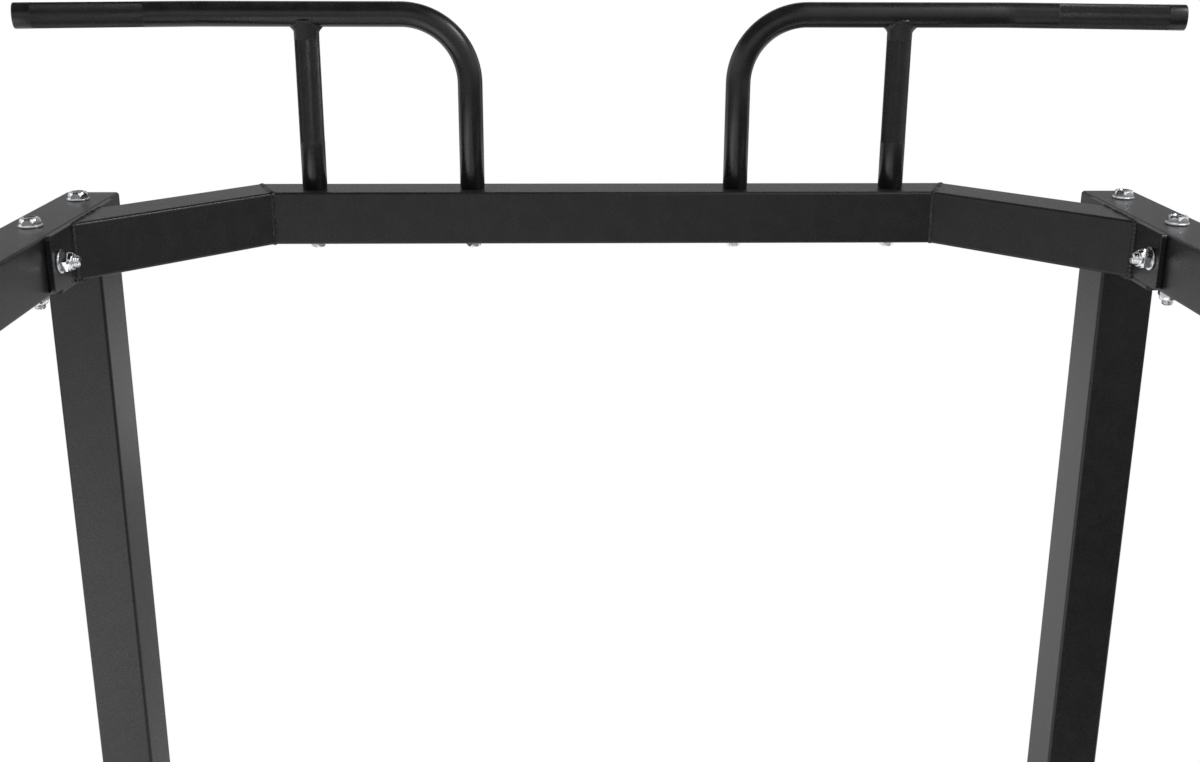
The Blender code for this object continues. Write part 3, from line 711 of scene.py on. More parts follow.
def moved(mesh: Mesh, *matrices: Matrix) -> Mesh:
    """The mesh after the matrices, the last one first, turned outwards again if they mirror it.

    Args:
        mesh: the mesh, which is changed.
        *matrices: the matrices.

    Returns:
        The same mesh.
    """
    for matrix in reversed(matrices):
        mesh.transform(matrix)
        if matrix.to_3x3().determinant() < 0:
            mesh.flip_normals()
    return mesh


def shifted(x: float = 0.0, y: float = 0.0, z: float = 0.0) -> Matrix:
    """A move as a matrix."""
    return Matrix.Translation((x, y, z))


def merged(meshes: Iterable[Mesh], finish: Finish) -> Mesh:
    """One mesh that holds several, which are used up.

    Args:
        meshes: the meshes, with or without materials.
        finish: the finish of the faces that have no material yet.

    Returns:
        The joined mesh.
    """
    shape = bmesh.new()
    materials = [finish.material()]
    for mesh in meshes:
        start = len(shape.faces)
        shape.from_mesh(mesh)
        shape.faces.ensure_lookup_table()
        slots = []
        for material in mesh.materials or [None]:
            wanted = material or finish.material()
            if wanted not in materials:
                materials.append(wanted)
            slots.append(materials.index(wanted))
        for face in shape.faces[start:]:
            face.material_index = slots[min(face.material_index, len(slots) - 1)]
        bpy.data.meshes.remove(mesh)
    result = bpy.data.meshes.new("merged")
    shape.to_mesh(result)
    shape.free()
    for material in materials:
        result.materials.append(material)
    return result


def plain(thing: Object) -> Mesh:
    """The mesh of an object with its modifiers applied; the object is removed.

    Args:
        thing: the object.

    Returns:
        The plain mesh.
    """
    graph = bpy.context.evaluated_depsgraph_get()
    mesh = bpy.data.meshes.new_from_object(thing.evaluated_get(graph), depsgraph=graph)
    source = thing.data
    bpy.data.objects.remove(thing)
    bpy.data.meshes.remove(source)
    return mesh


def in_scene(name: str, data: bpy.types.ID) -> Object:
    """A new object in the scene that carries a mesh, a lamp or a camera.

    Args:
        name: its name.
        data: what it carries.

    Returns:
        The object.
    """
    thing = bpy.data.objects.new(name, data)
    bpy.context.scene.collection.objects.link(thing)
    return thing


def eased(
    mesh: Mesh,
    edge: float = 0.0,
    steps: int = 2,
    crease: float = 34.0,
    weighted: bool = True,
) -> Mesh:
    """The mesh with its sharp edges rounded and its shading set.

    Args:
        mesh: the mesh, which is used up.
        edge: width of the rounded edges, or 0 to leave them.
        steps: segments across a rounded edge.
        crease: angle in degrees above which an edge is sharp.
        weighted: whether large flat faces keep their own direction in the shading.

    Returns:
        The finished mesh.
    """
    angle = math.radians(crease)
    if not edge:
        mesh.set_sharp_from_angle(angle=angle)
    thing = in_scene("workpiece", mesh)
    if edge:
        bevel = thing.modifiers.new("Edges", "BEVEL")
        bevel.width = edge
        bevel.segments = steps
        bevel.limit_method = "ANGLE"
        bevel.angle_limit = angle
        bevel.use_clamp_overlap = True
        for polygon in mesh.polygons:
            polygon.use_smooth = True
    if weighted:
        normals = thing.modifiers.new("Normals", "WEIGHTED_NORMAL")
        normals.mode = "FACE_AREA"
        normals.weight = 50
        normals.keep_sharp = True
    return plain(thing)


def grown(mesh: Mesh, tree: NodeTree, finish: Finish, values: Mapping[str, object]) -> Mesh:
    """What a geometry tree makes of a mesh.

    Args:
        mesh: the mesh that goes in, which is used up.
        tree: the geometry tree.
        finish: what it is coated with.
        values: its other inputs by name.

    Returns:
        The plain mesh that comes out.
    """
    filled = {**values, "Material": finish.material()}
    thing = in_scene("workpiece", mesh)
    modifier = thing.modifiers.new(tree.name, "NODES")
    modifier.node_group = tree
    for item in tree.interface.items_tree:
        if item.item_type == "SOCKET" and item.in_out == "INPUT" and item.name in filled:
            modifier[item.identifier] = filled[item.name]
    return plain(thing)


def path_mesh(
    points: Sequence[Vector], closed: bool = False, marks: Mapping[str, Sequence[float]] | None = None
) -> Mesh:
    """A path of edges for a geometry tree to follow.

    Args:
        points: the path's points.
        closed: whether its end joins its start.
        marks: named numbers for each point.

    Returns:
        A mesh of points and edges.
    """
    mesh = bpy.data.meshes.new("path")
    edges = [(index, index + 1) for index in range(len(points) - 1)]
    if closed:
        edges.append((len(points) - 1, 0))
    mesh.from_pydata([tuple(point) for point in points], edges, [])
    for name, numbers in (marks or {}).items():
        attribute = mesh.attributes.new(name, "FLOAT", "POINT")
        attribute.data.foreach_set("value", list(numbers))
    return mesh


# Geometry trees


@node_group(
    "weld_bead",
    "Geometry",
    {
        "Path": "Geometry",
        "Radius": 0.0025,
        "Ripple Pitch": 0.0024,
        "Ripple Depth": 0.22,
        "Wander": 0.0004,
        "Seed": 3.0,
        "Material": "Material",
    },
    ("Bead",),
)
def weld_tree(bench: GroupBench, given: NodeOutputs) -> Sequence[NodeSocket]:
    """A weld bead along a path: a rippled tube whose width wanders a little.

    Args:
        bench: the group's nodes.
        given: its inputs.

    Returns:
        The sockets of its outputs.
    """
    steps_per_ripple = 4.0
    ripple_bow = 1.6
    path = bench.add("GeometryNodeMeshToCurve", {0: given["Path"]})[0]
    step = bench.math("DIVIDE", given["Ripple Pitch"], steps_per_ripple)
    spaced = bench.add("GeometryNodeResampleCurve", {"Curve": path, "Length": step}, mode="LENGTH")[0]
    noise = bench.wobble(160.0, 1.0)
    middle = {0: noise["Color"], 1: (0.5, 0.5, 0.5)}
    centred = bench.add("ShaderNodeVectorMath", middle, operation="SUBTRACT")[0]
    drift = {"Geometry": spaced, "Offset": bench.scaled(centred, given["Wander"])}
    wandering = bench.add("GeometryNodeSetPosition", drift)[0]
    length = bench.add("GeometryNodeSplineParameter")["Length"]
    phase = bench.math("FRACT", bench.math("DIVIDE", length, given["Ripple Pitch"]))
    saw = bench.math("MULTIPLY", bench.math("POWER", phase, ripple_bow), given["Ripple Depth"])
    swell = bench.ramp(noise["Fac"], 0.3, 0.7, 0.86, 1.10)
    scale = bench.math("MULTIPLY", bench.math("SUBTRACT", 1.0, saw), swell)
    ring = bench.add("GeometryNodeCurvePrimitiveCircle", {"Resolution": 10, "Radius": given["Radius"]})[0]
    bead = bench.swept(wandering, ring, scale)
    return (bench.coated(bench.add("GeometryNodeSetShadeSmooth", {"Geometry": bead})[0]),)


@node_group(
    "knurled_bar",
    "Geometry",
    {
        "Path": "Geometry",
        "Radius": 0.014,
        "Sides": 116,
        "Depth": 0.0003,
        "Ragged": 0.003,
        "Seed": 5.0,
        "Material": "Material",
    },
    ("Bar",),
)
def knurl_tree(bench: GroupBench, given: NodeOutputs) -> Sequence[NodeSocket]:
    """A round bar along a path, with a rolled diamond knurl where the path's points are marked for it.

    Each point of the path carries ring_scale, the bar's width there as a share of the full one, and knurl,
    how far the point lies inside a knurled length. Points in a knurled length are half a diamond apart.

    Args:
        bench: the group's nodes.
        given: its inputs.

    Returns:
        The sockets of its outputs.
    """
    run_in = 0.0008
    inside = bench.attribute("knurl")
    rings = bench.numbered(bench.add("GeometryNodeMeshToCurve", {0: given["Path"]})[0])
    outline = {"Resolution": given["Sides"], "Radius": given["Radius"]}
    sides = bench.numbered(bench.add("GeometryNodeCurvePrimitiveCircle", outline)[0])
    bar = bench.swept(rings[0], sides[0], bench.attribute("ring_scale"))
    odd = bench.math("MODULO", bench.math("ADD", rings[1], sides[1]), 2.0)
    edge = bench.math("MULTIPLY", bench.wobble(220.0, 2.0)["Fac"], given["Ragged"])
    share = bench.ramp(bench.math("SUBTRACT", inside, edge), 0.0, run_in)
    drop = bench.math("MULTIPLY", bench.math("MULTIPLY", odd, share), given["Depth"])
    normal = bench.add("GeometryNodeInputNormal")[0]
    inwards = {"Geometry": bar, "Offset": bench.scaled(normal, bench.math("MULTIPLY", drop, -1.0))}
    rolled = bench.add("GeometryNodeSetPosition", inwards)[0]
    knurled = {"Mesh": rolled, "Selection": bench.math("GREATER_THAN", inside, 0.0)}
    facets = bench.add("GeometryNodeTriangulate", knurled, quad_method="SHORTEST_DIAGONAL")[0]
    smooth = {"Geometry": facets, "Shade Smooth": bench.math("LESS_THAN", inside, 0.0001)}
    return (bench.coated(bench.add("GeometryNodeSetShadeSmooth", smooth, domain="FACE")[0]),)


@node_group(
    "punched_row",
    "Geometry",
    {
        "Tube": "Geometry",
        "Count": 13,
        "Start": "Vector",
        "Pitch": "Vector",
        "Radius": 0.014,
        "Reach": 0.2,
        "Sides": 40,
        "Material": "Material",
    },
    ("Punched",),
)
def punched_tree(bench: GroupBench, given: NodeOutputs) -> Sequence[NodeSocket]:
    """A row of round holes at an even pitch up an upright, cut through its front and rear walls.

    Args:
        bench: the group's nodes.
        given: its inputs.

    Returns:
        The sockets of its outputs.
    """
    drum = {"Vertices": given["Sides"], "Radius": given["Radius"], "Depth": given["Reach"]}
    punch = bench.add("GeometryNodeMeshCylinder", drum)[0]
    turn = {"Geometry": punch, "Rotation": (math.pi / 2, 0.0, 0.0)}
    punches = bench.real(bench.row(bench.add("GeometryNodeTransform", turn)[0]))
    meshes = {"Mesh 1": given["Tube"], "Mesh 2": punches}
    cut = bench.add("GeometryNodeMeshBoolean", meshes, operation="DIFFERENCE", solver="EXACT")[0]
    return (bench.coated(cut),)


@node_group(
    "screw_thread",
    "Geometry",
    {"Rod": "Geometry", "Radius": 0.006, "Pitch": 0.00175, "Depth": 0.0009, "Material": "Material"},
    ("Thread",),
)
def thread_tree(bench: GroupBench, given: NodeOutputs) -> Sequence[NodeSocket]:
    """Rolls a screw thread into a plain rod that stands on the origin along Z.

    Args:
        bench: the group's nodes.
        given: its inputs.

    Returns:
        The sockets of its outputs.
    """
    place = bench.place()
    parts = bench.add("ShaderNodeSeparateXYZ", {0: place})
    angle = bench.math("DIVIDE", bench.math("ARCTAN2", parts["Y"], parts["X"]), 2 * math.pi)
    turns = bench.math("DIVIDE", parts["Z"], given["Pitch"])
    phase = bench.math("FRACT", bench.math("SUBTRACT", turns, angle))
    groove = bench.math("ABSOLUTE", bench.math("MULTIPLY_ADD", phase, 2.0, -1.0))
    depth = bench.math("MULTIPLY", groove, given["Depth"])
    share = bench.math("SUBTRACT", 1.0, bench.math("DIVIDE", depth, given["Radius"]))
    narrow = bench.add("ShaderNodeCombineXYZ", {"X": share, "Y": share, "Z": 1.0})[0]
    target = bench.add("ShaderNodeVectorMath", {0: place, 1: narrow}, operation="MULTIPLY")[0]
    rolled = {"Geometry": given["Rod"], "Position": target}
    return (bench.coated(bench.add("GeometryNodeSetPosition", rolled)[0]),)


@node_group(
    "spread_copies",
    "Geometry",
    {
        "Points": "Geometry",
        "Pattern": "Object",
        "Spin": 0.0,
        "Seed": 7,
        "Material": "Material",
        "Insert Material": "Material",
    },
    ("Copies",),
)
def spread_tree(bench: GroupBench, given: NodeOutputs) -> Sequence[NodeSocket]:
    """Copies of one object on the points of a mesh, each turned by its point's turn attribute.

    One material is set on every face and the insert material on the faces whose insert attribute is 1.

    Args:
        bench: the group's nodes.
        given: its inputs.

    Returns:
        The sockets of its outputs.
    """
    source = {"Object": given["Pattern"], "As Instance": True}
    pattern = bench.add("GeometryNodeObjectInfo", source)["Geometry"]
    facing = bench.add("FunctionNodeEulerToRotation", {0: bench.attribute("turn", "FLOAT_VECTOR")})[0]
    copies = {"Points": given["Points"], "Instance": pattern, "Rotation": facing}
    placed = bench.add("GeometryNodeInstanceOnPoints", copies)[0]
    chance = bench.add("FunctionNodeRandomValue", {"Seed": given["Seed"]}, data_type="FLOAT")[1]
    spin = bench.add("ShaderNodeCombineXYZ", {"Z": bench.math("MULTIPLY", chance, given["Spin"])})[0]
    turned_copies = {"Instances": placed, "Rotation": spin, "Local Space": True}
    inserts = {
        "Geometry": bench.coated(bench.add("GeometryNodeRotateInstances", turned_copies)[0]),
        "Selection": bench.math("GREATER_THAN", bench.attribute("insert"), 0.5),
        "Material": given["Insert Material"],
    }
    return (bench.add("GeometryNodeSetMaterial", inserts)[0],)


@node_group(
    "rib_row",
    "Geometry",
    {"Rib": "Geometry", "Count": 8, "Start": "Vector", "Pitch": "Vector", "Material": "Material"},
    ("Ribs",),
)
def ribs_tree(bench: GroupBench, given: NodeOutputs) -> Sequence[NodeSocket]:
    """A row of copies of one small piece, such as the ribs of a sole."""
    return (bench.coated(bench.row(given["Rib"])),)


def weld_bead(
    points: Sequence[Vector],
    radius: float,
    closed: bool = True,
    ripple: float = 0.22,
    wander: float = 0.0004,
    pitch: float = 0.0024,
) -> Mesh:
    """A weld bead along points, with ripple as the depth of its ripples, a share of the radius."""
    values = {"Radius": radius, "Ripple Depth": ripple, "Wander": wander, "Ripple Pitch": pitch}
    return grown(path_mesh(points, closed), weld_tree(), FRAME_COAT, values)


def install(name: str, mesh: Mesh, finish: Finish, *nodes: str, body: Body = Body.FRAME) -> None:
    """Puts a finished piece in the scene.

    Args:
        name: the piece's name.
        mesh: its mesh, already in place.
        finish: its finish, used where the mesh has no material of its own.
        *nodes: the nodes that it stands for.
        body: what it rides on.
    """
    if not mesh.materials:
        mesh.materials.append(finish.material())
    elif None in list(mesh.materials):
        raise ValueError(f"{name} has an empty material slot")
    mesh.name = name
    piece = in_scene(name, mesh)
    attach(piece, body.value)
    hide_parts(*nodes)
    LOG.info("%s: %d faces, for %d nodes", name, len(mesh.polygons), len(nodes))


# Sub-assemblies


@dataclass(frozen=True)
class TubeStock:
    """The tube that the frame is cut from."""

    width: float = 0.060
    depth: float = 0.060
    wall: float = 0.003
    corner: float = 0.0034
    bore_corner: float = 0.0010
    edge: float = 0.0004

    def outline(self, inset: float = 0.0) -> list[Flat]:
        """The tube's outline, drawn in by an inset."""
        corner = max(self.corner - inset, self.bore_corner)
        return rounded_outline(self.width - 2 * inset, self.depth - 2 * inset, corner)

    def length(self, start: float, end: float) -> Mesh:
        """A length of tube along Z."""
        return hollow(self.outline(), self.outline(self.wall), start, end)


@dataclass(frozen=True)
class Layout:
    """Where things stand: the sizes that every sub-assembly shares."""

    cage_height: float = 2.000
    cage_depth: float = 1.310
    cage_inside: float = 1.100
    upright_depth: float = 0.070
    seat: float = 0.0003
    overhang: float = 0.013
    foot_pad: float = 0.015
    outer_bolt: float = 0.004
    bolt_spacing: float = 0.142
    stock: TubeStock = TubeStock()

    @property
    def side_x(self) -> float:
        """Middle of a side frame, from the rack's middle."""
        return self.cage_inside / 2 + self.stock.width / 2

    @property
    def upright_y(self) -> float:
        """Middle of an upright, from the rack's middle."""
        return (self.cage_depth - self.upright_depth) / 2

    @property
    def beam_half(self) -> float:
        """Half the length of a side beam."""
        return self.cage_depth / 2 + self.overhang

    @property
    def beam_z(self) -> float:
        """Height of the side beams' middle."""
        return self.cage_height - self.stock.width / 2

    @property
    def rail_bottom(self) -> float:
        """Underside of the base rails."""
        return self.foot_pad + self.seat

    @property
    def rail_z(self) -> float:
        """Height of the base rails' middle."""
        return self.rail_bottom + self.stock.width / 2

    @property
    def outer_bolt_y(self) -> float:
        """The flange's outer bolt."""
        return self.upright_y + self.outer_bolt

    @property
    def inner_bolt_y(self) -> float:
        """The flange's inner bolt."""
        return self.outer_bolt_y - self.bolt_spacing

    @property
    def brace_y(self) -> float:
        """Middle of a straight crossmember."""
        return (self.outer_bolt_y + self.inner_bolt_y) / 2


LAYOUT = Layout()


@dataclass(frozen=True)
class Assembly(ABC):
    """A sub-assembly, which stands where the layout says."""

    layout: Layout = LAYOUT

    @abstractmethod
    def build(self) -> None:
        """Builds its pieces."""


@dataclass(frozen=True)
class Uprights(Assembly):
    """The four uprights with their flanges and rows of holes."""

    flange: float = 0.005
    flange_reach: float = 0.121
    flange_corner: float = 0.006
    flange_edge: float = 0.0006
    row_start: float = 0.450
    row_pitch: float = 0.100
    hole_radius: float = 0.014
    front_holes: int = 13
    rear_holes: int = 6
    weld_radius: float = 0.0028
    weld_stand: float = 0.2

    @property
    def bottom(self) -> float:
        """Underside of the lower flange."""
        return self.layout.rail_bottom + self.layout.stock.width + self.layout.seat

    @property
    def top(self) -> float:
        """Top of the upper flange."""
        return self.layout.cage_height - self.layout.stock.width - self.layout.seat

    def flange_plate(self, bottom: float) -> Mesh:
        """A flange that reaches to -Y, with rounded corners and eased edges.

        Args:
            bottom: its underside.

        Returns:
            Its mesh.
        """
        length = self.layout.upright_depth + self.flange_reach
        outline = rounded_outline(self.layout.stock.width, length, self.flange_corner)
        outline = [(x, y - self.flange_reach / 2) for x, y in outline]
        return eased(extruded(outline, bottom, bottom + self.flange), self.flange_edge)

    def upright(self, holes: int) -> Mesh:
        """One upright on the line x = 0, y = 0, its flanges reaching to -Y.

        Args:
            holes: how many row holes it has.

        Returns:
            Its mesh at its true height.
        """
        stock = TubeStock(depth=self.layout.upright_depth)
        tube = stock.length(self.bottom + self.flange / 2, self.top - self.flange / 2)
        values = {
            "Count": holes,
            "Start": (0.0, 0.0, self.row_start),
            "Pitch": (0.0, 0.0, self.row_pitch),
            "Radius": self.hole_radius,
            "Reach": 2 * stock.depth,
        }
        parts = [eased(grown(tube, punched_tree(), FRAME_COAT, values), stock.edge)]
        parts += [self.flange_plate(bottom) for bottom in (self.bottom, self.top - self.flange)]
        outline = stock.outline(-self.weld_radius * self.weld_stand)
        for level in (self.bottom + self.flange, self.top - self.flange):
            parts.append(weld_bead(ring_at(outline, level), self.weld_radius))
        return merged(parts, FRAME_COAT)

    def build(self) -> None:
        """Builds the four uprights."""
        for end, holes in ((End.FRONT, self.front_holes), (End.REAR, self.rear_holes)):
            pattern = self.upright(holes)
            for hand in Hand:
                place = shifted(hand.side * self.layout.side_x, end.way * self.layout.upright_y)
                name = f"{end.value}_{hand.value}"
                mesh = moved(pattern.copy(), place, end.turn)
                install(f"punched_upright_{name}", mesh, FRAME_COAT, f"upright_{name}")


@dataclass(frozen=True)
class SideFrames(Assembly):
    """The side beams on top and the side rails on the floor, with their end caps and feet."""

    cap: float = 0.003
    cap_dome: float = 0.0008
    lap: float = 0.0005
    lug_depth: float = 0.020
    lug_gap: float = 0.0005
    lug_wall: float = 0.003
    lug_corner: float = 0.003
    lug_edge: float = 0.0005
    foot_length: float = 0.120
    foot_wall: float = 0.004
    foot_corner: float = 0.006
    foot_edge: float = 0.0012
    plug_edge: float = 0.0010
    sole_groove: float = 0.0020
    sole_rib: float = 0.005
    sole_corner: float = 0.001
    sole_edge: float = 0.0006
    sole_ribs: int = 14
    sole_pitch: float = 0.0088
    sole_start: float = 0.0026

    @property
    def plug(self) -> float:
        """Width of what fits in the tube's bore."""
        return self.layout.stock.width - 2 * self.layout.stock.wall - 2 * self.lug_gap

    def length(self, z: float, x: float) -> Mesh:
        """One beam or rail along Y.

        Args:
            z: height of its middle.
            x: its middle across the rack.

        Returns:
            Its mesh in place.
        """
        half = self.layout.beam_half
        tube = eased(self.layout.stock.length(-half, half), self.layout.stock.edge)
        return moved(tube, shifted(x, 0.0, z), Axis.Y.matrix())

    def cap_mesh(self) -> Mesh:
        """A domed cap, its flange's inner face at z = 0 and its hollow plug to -Z.

        Returns:
            Its mesh.
        """
        stock = self.layout.stock
        seat = self.layout.seat
        face = seat + self.cap
        profile = (
            (0.0006, seat),
            (0.0, seat + 0.0006),
            (0.0, face - 0.0016),
            (0.0005, face - 0.0007),
            (0.0016, face - 0.0002),
            (0.0040, face),
            (0.0070, face - 0.0002),
            (0.0080, face - self.cap_dome),
            (0.0240, face - self.cap_dome),
        )
        rings = [ring_at(stock.outline(inset), level) for inset, level in profile]
        flange = eased(lofted(rings), crease=50.0)
        inside = self.plug - 2 * self.lug_wall
        outer = rounded_outline(self.plug, self.plug, self.lug_corner, 4)
        inner = rounded_outline(inside, inside, self.lug_corner / 2, 4)
        lug = eased(hollow(outer, inner, -self.lug_depth, seat + self.lap), self.lug_edge)
        return merged([flange, lug], CAP_PLASTIC)

    def foot_mesh(self) -> Mesh:
        """A rubber foot reaching to -Y from the rail's end at y = 0, with a grooved sole at z = 0.

        Returns:
            Its mesh.
        """
        layout = self.layout
        seat = layout.seat
        width = layout.stock.width
        length = self.foot_length + seat + self.foot_wall
        middle = (seat + self.foot_wall - self.foot_length) / 2
        outline = [(x, y + middle) for x, y in rounded_outline(width, length, self.foot_corner)]
        pad = eased(extruded(outline, self.sole_groove, layout.foot_pad), self.foot_edge, 3)
        wall_outline = rounded_outline(width, self.foot_wall, self.foot_edge, 3)
        outline = [(x, y + seat + self.foot_wall / 2) for x, y in wall_outline]
        wall = extruded(outline, layout.foot_pad / 2, layout.rail_bottom + width)
        outline = rounded_outline(self.plug, self.plug, self.lug_corner, 4)
        lug = extruded(outline, -self.lug_depth, seat + 2 * self.lap)
        moved(lug, shifted(z=layout.rail_z), Axis.Y.matrix())
        outline = rounded_outline(width - self.foot_corner, self.sole_rib, self.sole_corner, 2)
        rib = eased(extruded(outline, 0.0, self.sole_groove + 2 * self.lap), self.sole_edge, 1)
        values = {
            "Count": self.sole_ribs,
            "Start": (0.0, 0.0, 0.0),
            "Pitch": (0.0, -self.sole_pitch, 0.0),
        }
        ribs = moved(grown(rib, ribs_tree(), FOOT_RUBBER, values), shifted(y=-self.sole_start))
        return merged([pad, eased(wall, self.plug_edge), eased(lug, self.plug_edge), ribs], FOOT_RUBBER)

    def build(self) -> None:
        """Builds the beams, the rails and what closes their ends."""
        layout = self.layout
        cap = self.cap_mesh()
        foot = self.foot_mesh()
        for hand in Hand:
            x = hand.side * layout.side_x
            side = hand.value
            beam = self.length(layout.beam_z, x)
            install(f"side_beam_tube_{side}", beam, FRAME_COAT, f"top_side_beam_{side}")
            rail = self.length(layout.rail_z, x)
            install(f"base_rail_tube_{side}", rail, FRAME_COAT, f"base_side_rail_{side}")
            for end in End:
                name = f"{end.value}_{side}"
                y = end.way * layout.beam_half
                tip = Matrix.Rotation(-end.way * math.pi / 2, 4, "X")
                mesh = moved(cap.copy(), shifted(x, y, layout.beam_z), tip)
                install(f"end_cap_{name}", mesh, CAP_PLASTIC, f"beam_cap_{name}")
                mesh = moved(foot.copy(), shifted(x, y), end.turn)
                install(f"rubber_foot_{name}", mesh, FOOT_RUBBER, f"rail_foot_{name}")


@dataclass(frozen=True)
class EndPlates:
    """The plates on the ends of the crossmembers, and the fillets that hold them."""

    layout: Layout = LAYOUT
    thickness: float = 0.006
    margin: float = 0.003
    corner: float = 0.004
    edge: float = 0.0007
    tube_sink: float = 0.001
    fillet_radius: float = 0.0040
    fillet_sink: float = 0.0022
    fillet_ripple: float = 0.42
    fillet_pitch: float = 0.0044

    @property
    def inner_x(self) -> float:
        """The plates' faces that look into the cage."""
        return self.layout.cage_inside / 2 - self.layout.seat - self.thickness

    @property
    def tube_end(self) -> float:
        """Where the tubes end, a little inside the plates."""
        return self.inner_x + self.tube_sink

    @property
    def fillet_top(self) -> float:
        """Greatest height of a fillet's path over the tube's middle, below the tube's top face."""
        return self.layout.stock.width / 2 - self.fillet_sink

    def fillet(self, path: Sequence[Vector], wander: float) -> Mesh:
        """The coarse weld round a tube's end, which wanders from its path."""
        ripples = {"ripple": self.fillet_ripple, "pitch": self.fillet_pitch}
        return weld_bead(path, self.fillet_radius, wander=wander, **ripples)

    def plate(self, side: int, length: float, y: float, top: float) -> Mesh:
        """One end plate.

        Args:
            side: -1 for the left one and 1 for the right one.
            length: along Y.
            y: its middle.
            top: height of its upper edge.

        Returns:
            Its mesh in place.
        """
        height = self.layout.stock.width - self.margin
        outline = rounded_outline(height, length, self.corner)
        plate = eased(extruded(outline, -self.thickness / 2, self.thickness / 2), self.edge, 3)
        x = side * (self.inner_x + self.thickness / 2)
        return moved(plate, shifted(x, y, top - height / 2), Axis.X.matrix())


@dataclass(frozen=True)
class BowedCrossmember(Assembly):
    """The pull-up crossmember: three mitred lengths of tube between two end plates."""

    plates: EndPlates = EndPlates()
    angle: float = math.radians(45)
    setback: float = 0.109
    straight: float = 0.777
    plate_front: float = 0.106
    plate_rear: float = 0.094
    mitre_radius: float = 0.0046
    mitre_inset: float = 0.0028
    mitre_gap: float = 0.0004

    @property
    def bow_y(self) -> float:
        """Middle of the straight length."""
        return self.layout.cage_depth / 2 - self.layout.upright_depth + self.setback

    @property
    def foot_y(self) -> float:
        """Where the tube's middle meets the end plates."""
        reach = self.plates.inner_x - self.straight / 2
        return self.bow_y - reach * math.tan(self.angle)

    def section(self, side: int, inset: float, end_x: float | None = None) -> list[Vector]:
        """The tube's outline at a mitre, or at its end.

        Args:
            side: -1 for the left half and 1 for the right half.
            inset: how far the outline is drawn in.
            end_x: distance of the end from the middle, or None for the mitre.

        Returns:
            The outline's points, about the middle of the straight length.
        """
        along = Vector((math.cos(self.angle), -math.sin(self.angle)))
        mitre = Vector((math.tan(self.angle / 2), 1.0))
        points = []
        for across, height in self.layout.stock.outline(inset):
            point = Vector((self.straight / 2, 0.0)) + across * mitre
            if end_x is not None:
                point += along * ((end_x - point.x) / along.x)
            points.append(Vector((side * point.x, point.y, height)))
        return points

    def build(self) -> None:
        """Builds the crossmember with its plates and welds."""
        plates = self.plates
        ends = ((-1, plates.tube_end), (-1, None), (1, None), (1, plates.tube_end))
        tube = lofted([self.section(side, 0.0, end_x) for side, end_x in ends])
        place = shifted(0.0, self.bow_y, self.layout.beam_z)
        parts = [moved(eased(tube), place)]
        rear_limit = self.layout.stock.width / 2 - self.mitre_radius - self.mitre_gap
        length = self.plate_front + self.plate_rear
        plate_y = self.foot_y + (self.plate_rear - self.plate_front) / 2
        for side in (-1, 1):
            ring = self.section(side, self.mitre_inset)
            for point in ring:
                point.y = min(point.y, rear_limit)
            band = weld_bead(ring, self.mitre_radius, ripple=0.05, wander=0.0003, pitch=0.003)
            parts.append(moved(band, place))
            path = self.section(side, 0.0, plates.inner_x)
            for point in path:
                point.z = min(point.z, plates.fillet_top)
            parts.append(moved(plates.fillet(path, 0.0007), place))
            parts.append(plates.plate(side, length, plate_y, self.layout.cage_height))
        install("bowed_crossmember", merged(parts, FRAME_COAT), FRAME_COAT, "pullup_crossmember")


@dataclass(frozen=True)
class StraightCrossmembers(Assembly):
    """The front crossmember on top and the rear one at the base."""

    plates: EndPlates = EndPlates()
    plate_length: float = 0.130

    def crossmember(self, y: float, z: float) -> Mesh:
        """One straight crossmember with its plates and welds.

        Args:
            y: its middle along the rack.
            z: height of its middle.

        Returns:
            Its mesh in place.
        """
        plates = self.plates
        stock = self.layout.stock
        tube = eased(extruded(stock.outline(), -plates.tube_end, plates.tube_end))
        parts = [moved(tube, shifted(0.0, y, z), Axis.X.matrix())]
        for side in (-1, 1):
            path = [
                Vector((side * plates.inner_x, y + across, z + min(height, plates.fillet_top)))
                for across, height in stock.outline()
            ]
            parts.append(plates.fillet(path, 0.0006))
            parts.append(plates.plate(side, self.plate_length, y, z + stock.width / 2))
        return merged(parts, FRAME_COAT)

    def build(self) -> None:
        """Builds both crossmembers."""
        layout = self.layout
        front = self.crossmember(-layout.brace_y, layout.beam_z)
        install("straight_crossmember_top", front, FRAME_COAT, "front_top_crossmember")
        rear = self.crossmember(layout.brace_y, layout.rail_z)
        install("straight_crossmember_base", rear, FRAME_COAT, "rear_base_crossmember")


